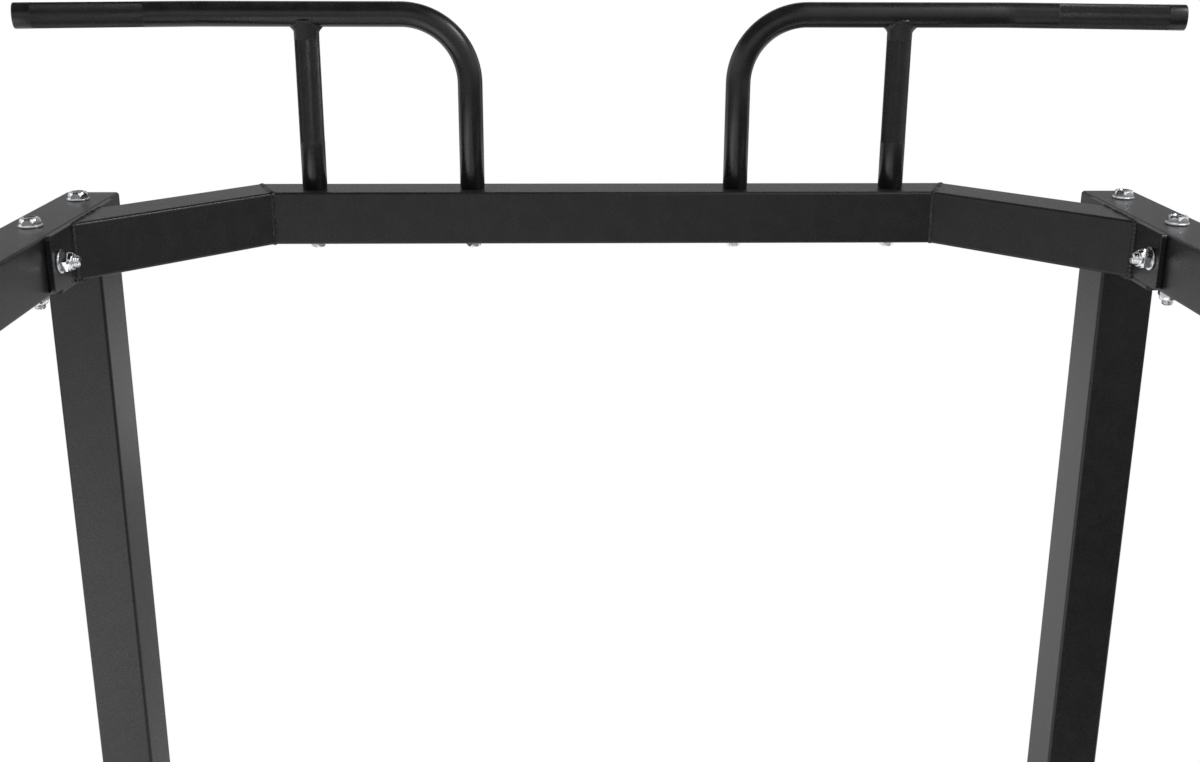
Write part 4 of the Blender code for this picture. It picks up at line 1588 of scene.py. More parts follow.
@dataclass(frozen=True)
class KnurledStock:
    """Round bar with a rolled diamond knurl on the lengths that hands hold."""

    radius: float
    sides: int
    diamond: float
    depth: float
    finish: Finish
    tip_edge: float = 0.0018
    tip_steps: int = 4

    def bar(self, stations: Sequence[Station]) -> Mesh:
        """A bar through stations.

        Args:
            stations: each a point, the share of the full width there, and the depth inside a knurl.

        Returns:
            The bar's mesh.
        """
        points, scales, depths = zip(*stations)
        path = path_mesh(points, marks={"ring_scale": scales, "knurl": depths})
        values = {"Radius": self.radius, "Sides": self.sides, "Depth": self.depth}
        return grown(path, knurl_tree(), self.finish, values)

    def run(self, start: Vector, end: Vector, first: float, last: float) -> list[Station]:
        """Stations of a knurled length that lies between two distances along a straight line.

        Args:
            start: the line's start.
            end: a point further along it.
            first: distance of the knurl's start.
            last: distance of its end.

        Returns:
            The stations, half a diamond apart.
        """
        way = (end - start).normalized()
        count = round((last - first) / (self.diamond / 2))
        stations = []
        for index in range(count + 1):
            distance = first + (last - first) * index / count
            inside = min(distance - first, last - distance)
            stations.append((start + way * distance, 1.0, max(inside, 0.0)))
        return stations

    def tip(self, end: Vector, way: Vector) -> list[Station]:
        """Stations of a bar's closed end with its rounded edge.

        Args:
            end: middle of the end face.
            way: unit vector out of the end.

        Returns:
            The stations up to the end face.
        """
        edge = self.tip_edge
        stations = []
        for step in range(self.tip_steps + 1):
            angle = step / self.tip_steps * math.pi / 2
            back = edge * (1 - math.sin(angle))
            stations.append((end - way * back, 1 - edge * (1 - math.cos(angle)) / self.radius, 0.0))
        return stations


@dataclass(frozen=True)
class Grips(Assembly):
    """The two J-shaped grips: a bent bar and an upright post, both knurled where hands go."""

    crossmember: BowedCrossmember = BowedCrossmember()
    stock: KnurledStock = KnurledStock(0.014, 74, 0.0024, 0.00057, GRIP_COAT)
    rise: float = 0.1955
    leg_x: float = 0.152
    post_x: float = 0.333
    bend_radius: float = 0.076
    bend_steps: int = 28
    elbow_x: float = 0.455
    elbow_angle: float = math.radians(12)
    elbow_radius: float = 0.090
    elbow_steps: int = 6
    outer_length: float = 0.189
    knurl_start: float = 0.052
    knurl_end: float = 0.172
    post_knurl_start: float = 0.051
    post_knurl_end: float = 0.1705
    post_gap: float = 0.0005
    cope_depth: float = 0.0066
    cope_gap: float = 0.0002
    weld_points: int = 168
    weld_leg: float = 0.0042
    weld_leg_front: float = 0.0016

    @property
    def radius(self) -> float:
        """Radius of the bars."""
        return self.stock.radius

    def foot(self, x: float) -> list[Station]:
        """Stations of the lower end of a bar that stands on the crossmember's top."""
        return [(Vector((x, 0.0, level)), share, 0.0) for level, share in ((0.0003, 0.95), (0.001, 1.0))]

    def bar(self, side: int) -> list[Station]:
        """The bent bar's stations, about the middle of the crossmember's top.

        Args:
            side: -1 for the left bar and 1 for the right one.

        Returns:
            The stations from its foot to its outer end.
        """
        stations = self.foot(side * self.leg_x)
        centre = (self.leg_x + self.bend_radius, self.rise - self.bend_radius)
        for x, z in arc(centre, self.bend_radius, math.pi, -math.pi / 2, self.bend_steps):
            stations.append((Vector((side * x, 0.0, z)), 1.0, 0.0))
        run = self.elbow_radius * math.tan(self.elbow_angle / 2)
        centre = (self.elbow_x - run, -self.elbow_radius)
        for x, y in arc(centre, self.elbow_radius, math.pi / 2, -self.elbow_angle, self.elbow_steps):
            stations.append((Vector((side * x, y, self.rise)), 1.0, 0.0))
        elbow = Vector((side * self.elbow_x, 0.0, self.rise))
        way = Vector((side * math.cos(self.elbow_angle), -math.sin(self.elbow_angle), 0.0))
        stations += self.stock.run(elbow, elbow + way, self.knurl_start, self.knurl_end)
        return stations + self.stock.tip(elbow + way * self.outer_length, way)

    def post(self, side: int) -> list[Station]:
        """The upright post's stations, about the same middle as the bar's.

        Args:
            side: -1 for the left post and 1 for the right one.

        Returns:
            The stations from its foot to the bar's underside.
        """
        foot = Vector((side * self.post_x, 0.0, 0.0))
        up = Vector((0.0, 0.0, 1.0))
        stations = self.foot(foot.x)
        stations += self.stock.run(foot, foot + up, self.post_knurl_start, self.post_knurl_end)
        stations.append((foot + up * (self.rise - self.radius - self.post_gap), 1.0, 0.0))
        return stations

    def cope(self, angle: float) -> float:
        """How far below the bar's middle the post's wall ends, at an angle round the post."""
        return max(self.radius * abs(math.cos(angle)), self.cope_depth) + self.cope_gap

    def coped_top(self, side: int) -> Mesh:
        """The post's coped top, from the bar's underside up to where the post's wall meets the bar.

        Args:
            side: -1 for the left post and 1 for the right one.

        Returns:
            Its mesh.
        """
        rings = []
        for share, sunk in ((1.0, None), (1.0, 0.0), (0.97, -0.0003), (0.78, -0.0004)):
            ring = []
            for angle in angles_round(self.stock.sides):
                level = -self.radius - 0.0007 if sunk is None else -self.cope(angle) + sunk
                across = self.radius * share
                x = side * self.post_x + across * math.cos(angle)
                ring.append(Vector((x, across * math.sin(angle), self.rise + level)))
            rings.append(ring)
        return eased(lofted(rings), crease=40.0)

    def saddle_weld(self, side: int) -> Mesh:
        """The hollow weld round the post where it meets the bar's underside, thick at the sides.

        Args:
            side: -1 for the left post and 1 for the right one.

        Returns:
            Its mesh.
        """
        rings: list[list[Vector]] = [[] for _ in range(6)]
        for angle in angles_round(self.weld_points):
            sideways = abs(math.cos(angle))
            fine = abs(math.sin(12.5 * angle))
            slow = math.sin(5.0 * angle + 1.0)
            ripple = 0.84 + 0.16 * fine + 0.10 * slow
            leg = (self.weld_leg_front + (self.weld_leg - self.weld_leg_front) * sideways**2) * ripple
            corner = self.cope(angle)
            outwards = Vector((math.cos(angle), math.sin(angle), 0.0))
            foot = outwards * self.radius - Vector((0.0, 0.0, corner))
            down = Vector((0.0, 0.0, -1.0))
            along = outwards * sideways**2 + Vector((0.0, 0.0, 1.0 - sideways**2))
            raised = outwards * 0.0003
            swell = outwards * (0.0010 * ripple) + down * (0.0004 * sideways)
            rings[0].append(foot + down * leg * 1.25 + raised * 0.4)
            rings[1].append(foot + down * leg * 0.62 + along * leg * 0.12 + raised + swell * 0.8)
            rings[2].append(foot + down * leg * 0.25 + along * leg * 0.40 + raised + swell)
            rings[3].append(foot + along * leg * 1.05 + outwards * 0.0002)
            rings[4].append(foot + along * leg * 0.8 - outwards * 0.0030 + Vector((0.0, 0.0, 0.0030)))
            rings[5].append(foot + down * leg * 0.9 - outwards * 0.0015)
        place = Vector((side * self.post_x, 0.0, self.rise))
        bead = lofted([[place + point for point in ring] for ring in rings], cyclic=True)
        return eased(bead, crease=62.0, weighted=False)

    def build(self) -> None:
        """Builds both grips."""
        place = shifted(0.0, self.crossmember.bow_y, self.layout.cage_height)
        for hand in Hand:
            parts = [
                self.stock.bar(self.bar(hand.side)),
                self.stock.bar(self.post(hand.side)),
                self.coped_top(hand.side),
                self.saddle_weld(hand.side),
            ]
            mesh = moved(merged(parts, GRIP_COAT), place)
            install(f"knurled_grip_{hand.value}", mesh, GRIP_COAT, f"grip_handle_{hand.value}")


@dataclass(frozen=True)
class HexFastener:
    """A hexagon bolt or screw with its washers, its head on the plane z = 0 and its shank to -Z."""

    radius: float
    across: float
    head: float
    washer_radius: float
    washer: float
    seat: float = LAYOUT.seat
    points: int = 48
    pitch: float = 0.00175
    crown_drop: float = 0.0009
    crown_slope: float = 2.4
    chamfer_share: float = 0.95
    chamfer_angle: float = math.radians(28)
    thread_chamfer: float = 0.0011
    thread_depth: float = 0.52
    rows_per_turn: int = 8
    shank_lap: float = 0.001
    shank_sides: int = 24
    screw_thread: float = 0.020
    nut_hex: float = 0.66
    nut_thread: float = 0.5
    ring_gap: float = 0.0002
    ring_sides: int = 36

    def hexagon(self, angle: float) -> float:
        """The hexagon's radius at an angle, with a corner at angle 0."""
        sixth = math.pi / 3
        return self.across / 2 / math.cos(angle % sixth - sixth / 2)

    def hex_rings(self, bottom: float, top: float) -> list[list[Vector]]:
        """Rings of a hexagon whose ends are turned down by a chamfer.

        Args:
            bottom: height of its lower face.
            top: height of its upper face.

        Returns:
            The rings, the lowest first.
        """
        flat = self.across / 2 * self.chamfer_share
        rings: list[list[Vector]] = [[], [], [], []]
        for angle in angles_round(self.points):
            radius = self.hexagon(angle)
            drop = (radius - flat) * math.tan(self.chamfer_angle)
            way = Vector((math.cos(angle), math.sin(angle), 0.0))
            lift = Vector((0.0, 0.0, 1.0))
            rings[0].append(way * flat + lift * bottom)
            rings[1].append(way * radius + lift * (bottom + drop))
            rings[2].append(way * radius + lift * (top - drop))
            rings[3].append(way * flat + lift * top)
        return rings

    def head_mesh(self) -> Mesh:
        """The forged head: a steep crown that cuts its flats in arches, and a shallow dish in its top.

        Returns:
            Its mesh.
        """
        bottom = self.seat + self.washer
        top = bottom + self.head
        rings: list[list[Vector]] = [[], []]
        for angle in angles_round(self.points):
            radius = self.hexagon(angle)
            drop = self.crown_drop + (radius - self.across / 2) * self.crown_slope
            for ring, level in zip(rings, (bottom, top - drop)):
                ring.append(Vector((*polar(radius, angle), level)))
        crown = ((0.955, 0.42), (0.90, 0.14), (0.84, 0.0), (0.75, 0.0))
        dish = ((0.71, 0.30), (0.64, 0.95), (0.52, 1.30), (0.28, 1.45))
        for share, depth in crown + dish:
            outline = round_outline(self.across / 2 * share, self.points)
            rings.append(ring_at(outline, top - depth * self.crown_drop))
        return eased(lofted(rings), crease=24.0)

    def washer_mesh(self, bottom: float) -> Mesh:
        """A flat washer with eased edges, its lower face at a height.

        Args:
            bottom: that height.

        Returns:
            Its mesh.
        """
        edge = 0.0003
        top = bottom + self.washer
        profile = (
            (self.radius, bottom),
            (self.washer_radius - edge, bottom),
            (self.washer_radius, bottom + edge),
            (self.washer_radius, top - edge),
            (self.washer_radius - edge, top),
            (self.radius, top),
        )
        return eased(turned(profile, cyclic=True), crease=50.0)

    def shank(self, bottom: float) -> Mesh:
        """The plain shank from the head down to a height.

        Args:
            bottom: that height.

        Returns:
            Its mesh.
        """
        top = self.seat + self.washer + self.shank_lap
        edge = 0.0008
        profile = (
            (0.0, bottom),
            (self.radius - edge, bottom),
            (self.radius, bottom + edge),
            (self.radius, top),
            (0.0, top),
        )
        return eased(turned(profile, self.shank_sides))

    def nut_mesh(self, top: float, height: float) -> Mesh:
        """A locking nut whose upper face is at a height: a hexagon, a rolled collar and its nylon ring.

        Args:
            top: height of the face that sits on the washer.
            height: the nut's full height.

        Returns:
            Its mesh; faces of the nylon ring carry insert = 1.
        """
        hex_height = height * self.nut_hex
        half = self.across / 2
        bore = self.radius + self.ring_gap
        body = eased(lofted(self.hex_rings(top - hex_height, top)), crease=24.0)
        collar = (
            (half * 0.93, hex_height - 0.0008),
            (half * 0.93, hex_height + 0.0012),
            (half * 0.90, height - 0.0010),
            (half * 0.84, height - 0.0002),
            (half * 0.76, height),
            (half * 0.72, height - 0.0004),
            (half * 0.72, height - 0.0010),
        )
        profile = [(radius, top - drop) for radius, drop in collar]
        rolled = eased(turned(profile, capped=True), crease=60.0)
        nylon = (
            (half * 0.71, height - 0.0011),
            (half * 0.71, height - 0.0007),
            (bore, height - 0.0007),
            (bore, height - 0.0011),
        )
        profile = [(radius, top - drop) for radius, drop in nylon]
        ring = eased(turned(profile, self.ring_sides, cyclic=True), crease=50.0)
        mark = ring.attributes.new("insert", "FLOAT", "FACE")
        mark.data.foreach_set("value", [1.0] * len(ring.polygons))
        return merged([body, rolled, ring], ZINC)

    def thread(self, top: float, length: float) -> Mesh:
        """The end of the thread, hanging down from a height.

        Args:
            top: height that it hangs from.
            length: down to its chamfered end.

        Returns:
            Its mesh.
        """
        chamfer = self.thread_chamfer
        rows = round((length - chamfer) / self.pitch * self.rows_per_turn)
        profile = [(0.0, 0.0)]
        profile += [(self.radius, (length - chamfer) * row / rows) for row in range(rows + 1)]
        profile += [(self.radius - chamfer, length), (0.0, length)]
        values = {"Radius": self.radius, "Pitch": self.pitch, "Depth": self.pitch * self.thread_depth}
        rod = grown(turned(profile, self.shank_sides), thread_tree(), ZINC, values)
        rod = eased(rod, crease=50.0, weighted=False)
        return moved(rod, shifted(z=top), Matrix.Rotation(math.pi, 4, "X"))

    def bolt(self, grip: float, nut: float, end: float) -> Mesh:
        """A bolt with two washers and a locking nut.

        Args:
            grip: thickness that it clamps.
            nut: the nut's height.
            end: thread that stands out of the nut.

        Returns:
            Its mesh.
        """
        nut_top = -grip - self.seat - self.washer
        thread_top = nut_top - nut * self.nut_thread
        parts = [
            self.head_mesh(),
            self.washer_mesh(self.seat),
            self.shank(thread_top - self.shank_lap),
            self.washer_mesh(nut_top),
            self.nut_mesh(nut_top, nut),
            self.thread(thread_top, nut * self.nut_thread + end),
        ]
        return merged(parts, ZINC)

    def screw(self, depth: float) -> Mesh:
        """A screw with one washer, its end at a depth.

        Args:
            depth: that depth.

        Returns:
            Its mesh.
        """
        thread_top = -depth + self.screw_thread
        parts = [
            self.head_mesh(),
            self.washer_mesh(self.seat),
            self.shank(thread_top - self.shank_lap),
            self.thread(thread_top, self.screw_thread),
        ]
        return merged(parts, ZINC)


@dataclass(frozen=True)
class Fasteners(Assembly):
    """All the rack's bolts and screws, each kind spread over its places."""

    plates: EndPlates = EndPlates()
    crossmember: BowedCrossmember = BowedCrossmember()
    grips: Grips = Grips()
    large: HexFastener = HexFastener(0.006, 0.019, 0.0070, 0.012, 0.0020)
    small: HexFastener = HexFastener(0.005, 0.016, 0.0064, 0.0105, 0.0020, pitch=0.0015)
    flange: float = 0.005
    weld_nut: float = 0.010
    nut: float = 0.012
    thread_end: float = 0.0055
    grip_foot: float = 0.025
    bow_bolt_front: float = 0.087
    pass_gap: float = 0.0015
    brace_spacing: float = 0.100
    spin: float = math.radians(50)

    def spread(self, name: str, pattern: Mesh, places: Places) -> None:
        """Puts a copy of a fastener on each of its places, as one piece.

        Args:
            name: the piece's name.
            pattern: the fastener's mesh.
            places: for each node, the place and the turn of its copy.
        """
        thing = in_scene("pattern", pattern)
        points = bpy.data.meshes.new("places")
        points.from_pydata([place for place, _ in places.values()], [], [])
        turns = points.attributes.new("turn", "FLOAT_VECTOR", "POINT")
        turns.data.foreach_set("vector", [angle for _, turn in places.values() for angle in turn])
        values = {"Pattern": thing, "Spin": self.spin, "Insert Material": LOCK_NYLON.material()}
        mesh = grown(points, spread_tree(), ZINC, values)
        bpy.data.objects.remove(thing)
        install(name, mesh, ZINC, *places)

    def build(self) -> None:
        """Builds the four kinds of fastener."""
        layout = self.layout
        width = layout.stock.width
        upright = (0.0, 0.0, 0.0)
        upside_down = (math.pi, 0.0, 0.0)
        screws, bolts, across, small = {}, {}, {}, {}
        for hand in Hand:
            x = hand.side * layout.side_x
            for end in End:
                name = f"{end.value}_{hand.value}"
                outer = end.way * layout.outer_bolt_y
                inner = end.way * layout.inner_bolt_y
                screws[f"top_outer_screw_{name}"] = ((x, outer, layout.cage_height), upright)
                screws[f"base_outer_screw_{name}"] = ((x, outer, layout.rail_bottom), upside_down)
                bolts[f"top_inner_bolt_{name}"] = ((x, inner, layout.cage_height), upright)
                bolts[f"base_inner_bolt_{name}"] = ((x, inner, layout.rail_bottom), upside_down)
            outer_face = hand.side * (layout.cage_inside / 2 + width)
            head_out = (0.0, hand.side * math.pi / 2, 0.0)
            drop = (width - self.plates.margin) / 2
            half = self.brace_spacing / 2
            bow_front = self.crossmember.foot_y - self.bow_bolt_front
            bow_rear = layout.outer_bolt_y - 2 * self.large.radius - self.pass_gap
            brace = layout.brace_y
            top = layout.cage_height - drop
            rows = (
                ("pullup_plate", top, bow_front, bow_rear),
                ("front_plate", top, -brace - half, -brace + half),
                ("base_plate", layout.rail_bottom + width - drop, brace - half, brace + half),
            )
            for row, z, front, rear in rows:
                across[f"{row}_bolt_front_{hand.value}"] = ((outer_face, front, z), head_out)
                across[f"{row}_bolt_rear_{hand.value}"] = ((outer_face, rear, z), head_out)
            for place, grip_x in (("inner", self.grips.leg_x), ("outer", self.grips.post_x)):
                spot = (hand.side * grip_x, self.crossmember.bow_y, layout.cage_height - width)
                small[f"grip_screw_{place}_{hand.value}"] = (spot, upside_down)
        grip = width + layout.seat
        depth = grip + self.flange + self.weld_nut
        self.spread("flange_screws", self.large.screw(depth), screws)
        self.spread("flange_bolts", self.large.bolt(grip + self.flange, self.nut, self.thread_end), bolts)
        thickness = grip + self.plates.thickness
        self.spread("plate_bolts", self.large.bolt(thickness, self.nut, self.thread_end), across)
        self.spread("grip_screws", self.small.screw(grip + self.grip_foot), small)


@dataclass(frozen=True)
class SafetyRods(Assembly):
    """The chromed safety rods with their stop collars and knurled handles."""

    radius: float = 0.0125
    tail: float = 0.015
    collar_radius: float = 0.0225
    collar_edge: float = 0.0008
    collar: float = 0.006
    handle: float = 0.045
    level: float = 0.650
    chamfer: float = 0.002
    knurl_start: float = 0.006
    knurl_gap: float = 0.004
    sides: int = 64

    def rod_mesh(self) -> Mesh:
        """A rod along +Z, its collar's seat at z = 0 and its handle below.

        Returns:
            Its mesh.
        """
        seat = self.layout.seat
        length = self.layout.cage_depth + self.tail
        handle_end = -self.collar - self.handle
        profile = (
            (0.0, length),
            (self.radius - self.chamfer, length),
            (self.radius - 0.0003, length - self.chamfer + 0.0004),
            (self.radius, length - self.chamfer - 0.0006),
            (self.radius, -seat - self.collar - 0.0005),
        )
        stock = KnurledStock(self.radius, 88, 0.0018, 0.0003, CHROME)
        start = Vector((0.0, 0.0, -seat - self.collar + 0.001))
        end = Vector((0.0, 0.0, handle_end))
        way = Vector((0.0, 0.0, -1.0))
        stations = [(start, 1.0, 0.0)]
        stations += stock.run(start, end, self.knurl_start, self.handle - self.knurl_gap)
        stations += stock.tip(end, way)
        edge = self.collar_edge
        rim = self.collar_radius
        collar = (
            (self.radius - 0.001, -seat),
            (rim - edge, -seat),
            (rim, -seat - edge),
            (rim, -seat - self.collar + edge),
            (rim - edge, -seat - self.collar),
            (self.radius - 0.001, -seat - self.collar),
        )
        rod = eased(turned(profile, self.sides))
        ring = eased(turned(collar, self.sides), crease=50.0)
        return merged([rod, ring, stock.bar(stations)], CHROME)

    def build(self) -> None:
        """Builds both rods."""
        rod = self.rod_mesh()
        front = -self.layout.cage_depth / 2
        for hand, body in ((Hand.LEFT, Body.ROD_LEFT), (Hand.RIGHT, Body.ROD_RIGHT)):
            place = shifted(hand.side * self.layout.side_x, front, self.level)
            mesh = moved(rod.copy(), place, Axis.Y.matrix())
            install(f"chromed_safety_rod_{hand.value}", mesh, CHROME, body.value, body=body)


@dataclass(frozen=True)
class JHooks(Assembly):
    """The J-hooks: a channel round the upright, a peg, a cradle and its liner."""

    level: float = 1.250
    reach: float = 0.069
    web: float = 0.005
    wing: float = 0.026
    plate_height: float = 0.110
    cradle: float = 0.006
    width: float = 0.050
    drop: float = 0.046
    top: float = 0.046
    lip: float = 0.046
    bend: float = 0.012
    bend_steps: int = 10
    web_bend: float = 0.006
    web_edge: float = 0.0008
    edge: float = 0.0012
    liner: float = 0.005
    side_gap: float = 0.00075
    peg_radius: float = 0.0125
    peg_tail: float = 0.004
    lap: float = 0.001
    seam_radius: float = 0.0022
    screw_sink: float = 0.0002
    screw_z: float = -0.012
    screw_spacing: float = 0.036
    screw_sides: int = 32

    def line(self, inset: float, top: float, lip: float) -> list[Flat]:
        """The cradle's middle line as (y, z) points, inset from its outer face.

        Args:
            inset: from the outer face.
            top: height of the back leg's top over the peg's middle.
            lip: height of the lip's top over the shelf's underside.

        Returns:
            The line from the back leg's top to the lip's top.
        """
        back = self.lap - inset
        front = -(self.reach - self.layout.seat - self.web) + inset
        floor = -self.drop + inset
        radius = self.bend - inset
        line = [(back, top)]
        quarter = -math.pi / 2
        line += arc((back - radius, floor + radius), radius, 0.0, quarter, self.bend_steps)
        line += arc((front + radius, floor + radius), radius, quarter, quarter, self.bend_steps)
        line.append((front, -self.drop + lip))
        return line

    def strip(self, line: Sequence[Flat], thickness: float) -> Mesh:
        """A bent strip along (y, z) points, its edges rounded.

        Args:
            line: its middle line.
            thickness: of the strip.

        Returns:
            Its mesh, as wide along X as the cradle.
        """
        points = [Vector(point) for point in line]
        rings = []
        for index, point in enumerate(points):
            ways = [
                (points[high] - points[low]).normalized()
                for low, high in ((index - 1, index), (index, index + 1))
                if 0 <= low and high < len(points)
            ]
            sides = [Vector((-way.y, way.x)) for way in ways]
            normal = sum(sides[1:], sides[0]) / (1 + sides[0].dot(sides[-1]) if len(sides) > 1 else 1)
            outline = ((1, 1), (-1, 1), (-1, -1), (1, -1))
            ring = []
            for across, off in outline:
                spot = point + normal * off * thickness / 2
                ring.append(Vector((across * self.width / 2, spot.x, spot.y)))
            rings.append(ring)
        return eased(lofted(rings), self.edge, 3, crease=40.0)

    def hook_mesh(self) -> Mesh:
        """A hook, y = 0 at the front face of its web and z = 0 at the middle of its peg.

        Returns:
            Its mesh.
        """
        inside = self.layout.stock.width / 2 + self.side_gap
        outside = inside + self.web
        reach = self.web + self.wing
        bend = self.web_bend
        half = arc((outside - bend, bend), bend, -math.pi / 2, math.pi / 2, 6)
        half += [(outside, reach), (inside, reach), (inside, self.web + 0.001), (inside - 0.001, self.web)]
        outline = half + [(-x, y) for x, y in reversed(half)]
        half_height = self.plate_height / 2
        channel = extruded(outline, -half_height, half_height)
        cradle = self.strip(self.line(self.cradle / 2, self.top, self.lip), self.cradle)
        peg_length = self.web + self.layout.seat + self.layout.upright_depth + self.peg_tail
        profile = (
            (0.0, 0.001),
            (self.peg_radius, 0.001),
            (self.peg_radius, peg_length - 0.0025),
            (self.peg_radius - 0.0008, peg_length - 0.0006),
            (self.peg_radius - 0.0025, peg_length),
            (0.0, peg_length),
        )
        peg = moved(turned(profile), Axis.Y.matrix())
        parts = [eased(channel, self.web_edge, 3, crease=40.0), cradle, eased(peg, crease=50.0)]
        for side in (-1, 1):
            x = side * (self.width / 2 + 0.0006)
            seam = [Vector((x, -0.0006, z)) for z in (self.top - 0.004, -self.drop + self.bend)]
            parts.append(weld_bead(seam, self.seam_radius, closed=False, ripple=0.3, pitch=0.003))
        return merged(parts, FRAME_COAT)

    def liner_mesh(self) -> Mesh:
        """The liner inside the cradle with the two screws that hold it, in the hook's own frame.

        Returns:
            Its mesh.
        """
        inset = self.cradle + self.layout.seat + self.liner / 2
        line = self.line(inset, self.top - self.liner, self.lip - self.liner)
        strip = self.strip(line, self.liner)
        face = self.lap - self.cradle - self.layout.seat - self.liner
        profile = (
            (0.0, 0.0),
            (0.0012, 0.0),
            (0.0016, 0.0006),
            (0.0034, 0.0006),
            (0.0040, 0.0),
            (0.0040, -0.0012),
            (0.0, -0.0012),
        )
        screw = eased(turned(profile, self.screw_sides), crease=40.0)
        moved(screw, Matrix.Rotation(math.pi / 2, 4, "X"))
        values = {
            "Count": 2,
            "Start": (0.0, face + self.screw_sink, self.screw_z),
            "Pitch": (0.0, 0.0, self.screw_spacing),
        }
        return merged([strip, grown(screw, ribs_tree(), ZINC, values)], LINER_NYLON)

    def build(self) -> None:
        """Builds both hooks and their liners."""
        hook = self.hook_mesh()
        liner = self.liner_mesh()
        front = -self.layout.cage_depth / 2 - self.layout.seat - self.web
        for hand, body in ((Hand.LEFT, Body.HOOK_LEFT), (Hand.RIGHT, Body.HOOK_RIGHT)):
            side = hand.value
            place = shifted(hand.side * self.layout.side_x, front, self.level)
            mesh = moved(hook.copy(), place)
            install(f"folded_jhook_{side}", mesh, FRAME_COAT, f"jhook_{side}", body=body)
            mesh = moved(liner.copy(), place)
            install(f"hook_liner_{side}", mesh, LINER_NYLON, f"jhook_liner_{side}", body=body)


# Studio


class Lamp(Enum):
    """The studio's lamps: place, width, height, power in watts and whether gloss shows them.

    Each one is aimed at the rack's middle.
    """

    OVERHEAD = ((0.0, 0.6, 4.6), 4.0, 3.4, 110.0, False)
    LEFT = ((-3.6, -1.4, 3.1), 1.6, 2.0, 45.0, False)
    RIGHT = ((3.6, -1.4, 3.1), 1.6, 2.0, 55.0, False)
    KEY = ((1.4, 0.25, 3.8), 0.8, 0.9, 25.0, True)


class Facing(Enum):
    """The way a card faces."""

    DOWN = (0.0, 0.0, -1.0)
    UP = (0.0, 0.0, 1.0)
    REAR = (0.0, 1.0, 0.0)
    FRONT = (0.0, -1.0, 0.0)
    LEFT = (-1.0, 0.0, 0.0)
    RIGHT = (1.0, 0.0, 0.0)


class Card(Enum):
    """Grey cards that only reflections show.

    Each has its place, width, height, the way it faces, and its greys at its left and its right end.
    """

    OVERHEAD = ((0.0, 0.45, 3.9), 6.4, 5.5, Facing.DOWN, 0.01, 0.01)
    OVERHEAD_FRONT = ((0.0, -3.6, 3.9), 10.0, 2.6, Facing.DOWN, 0.76, 0.52)
    OVERHEAD_RIGHT = ((1.6, -1.5, 3.86), 2.6, 3.4, Facing.DOWN, 0.80, 1.70)
    FRONT_HIGH = ((0.0, -5.0, 3.0), 10.0, 2.6, Facing.REAR, 0.82, 0.60)
    FRONT_MIDDLE = ((0.0, -5.0, 1.4), 10.0, 0.6, Facing.REAR, 0.46, 0.46)
    FRONT_LOW = ((-0.5, -5.0, 0.45), 9.0, 1.3, Facing.REAR, 1.06, 0.22)
    REAR_TOP = ((0.0, 5.0, 3.62), 9.0, 1.3, Facing.FRONT, 0.18, 0.25)
    REAR_HIGH = ((0.0, 5.05, 2.63), 9.0, 0.68, Facing.FRONT, 0.50, 0.40)
    REAR_MIDDLE = ((0.0, 5.5, 1.44), 4.4, 1.60, Facing.FRONT, 0.44, 0.18)
    REAR_LOW = ((0.0, 5.5, 0.25), 4.4, 0.78, Facing.FRONT, 0.88, 0.74)
    REAR_LEFT = ((-4.1, 5.5, 1.05), 3.8, 2.4, Facing.FRONT, 0.45, 0.45)
    REAR_RIGHT = ((4.1, 5.5, 1.05), 3.8, 2.4, Facing.FRONT, 0.15, 0.12)
    RIGHT_LOW = ((4.5, -1.0, 0.6), 8.0, 1.2, Facing.LEFT, 0.22, 0.22)
    RIGHT_MIDDLE = ((4.5, -1.0, 1.9), 8.0, 1.4, Facing.LEFT, 0.48, 0.48)
    RIGHT_HIGH = ((4.5, -1.0, 3.4), 8.0, 1.6, Facing.LEFT, 0.85, 0.85)
    LEFT_LOW = ((-4.5, -1.0, 1.1), 8.0, 2.2, Facing.RIGHT, 0.52, 0.52)
    FLOOR_REAR_LEFT = ((-0.9, 3.0, 0.02), 1.7, 4.0, Facing.UP, 0.80, 0.90)
    FLOOR_REAR_RIGHT = ((0.8, 3.0, 0.02), 1.7, 4.0, Facing.UP, 0.26, 0.20)
    FLOOR_LEFT = ((-2.23, -2.3, 0.02), 2.14, 3.4, Facing.UP, 2.20, 2.20)
    FLOOR_RIGHT = ((2.5, -3.6, 0.02), 3.8, 6.0, Facing.UP, 0.12, 0.12)


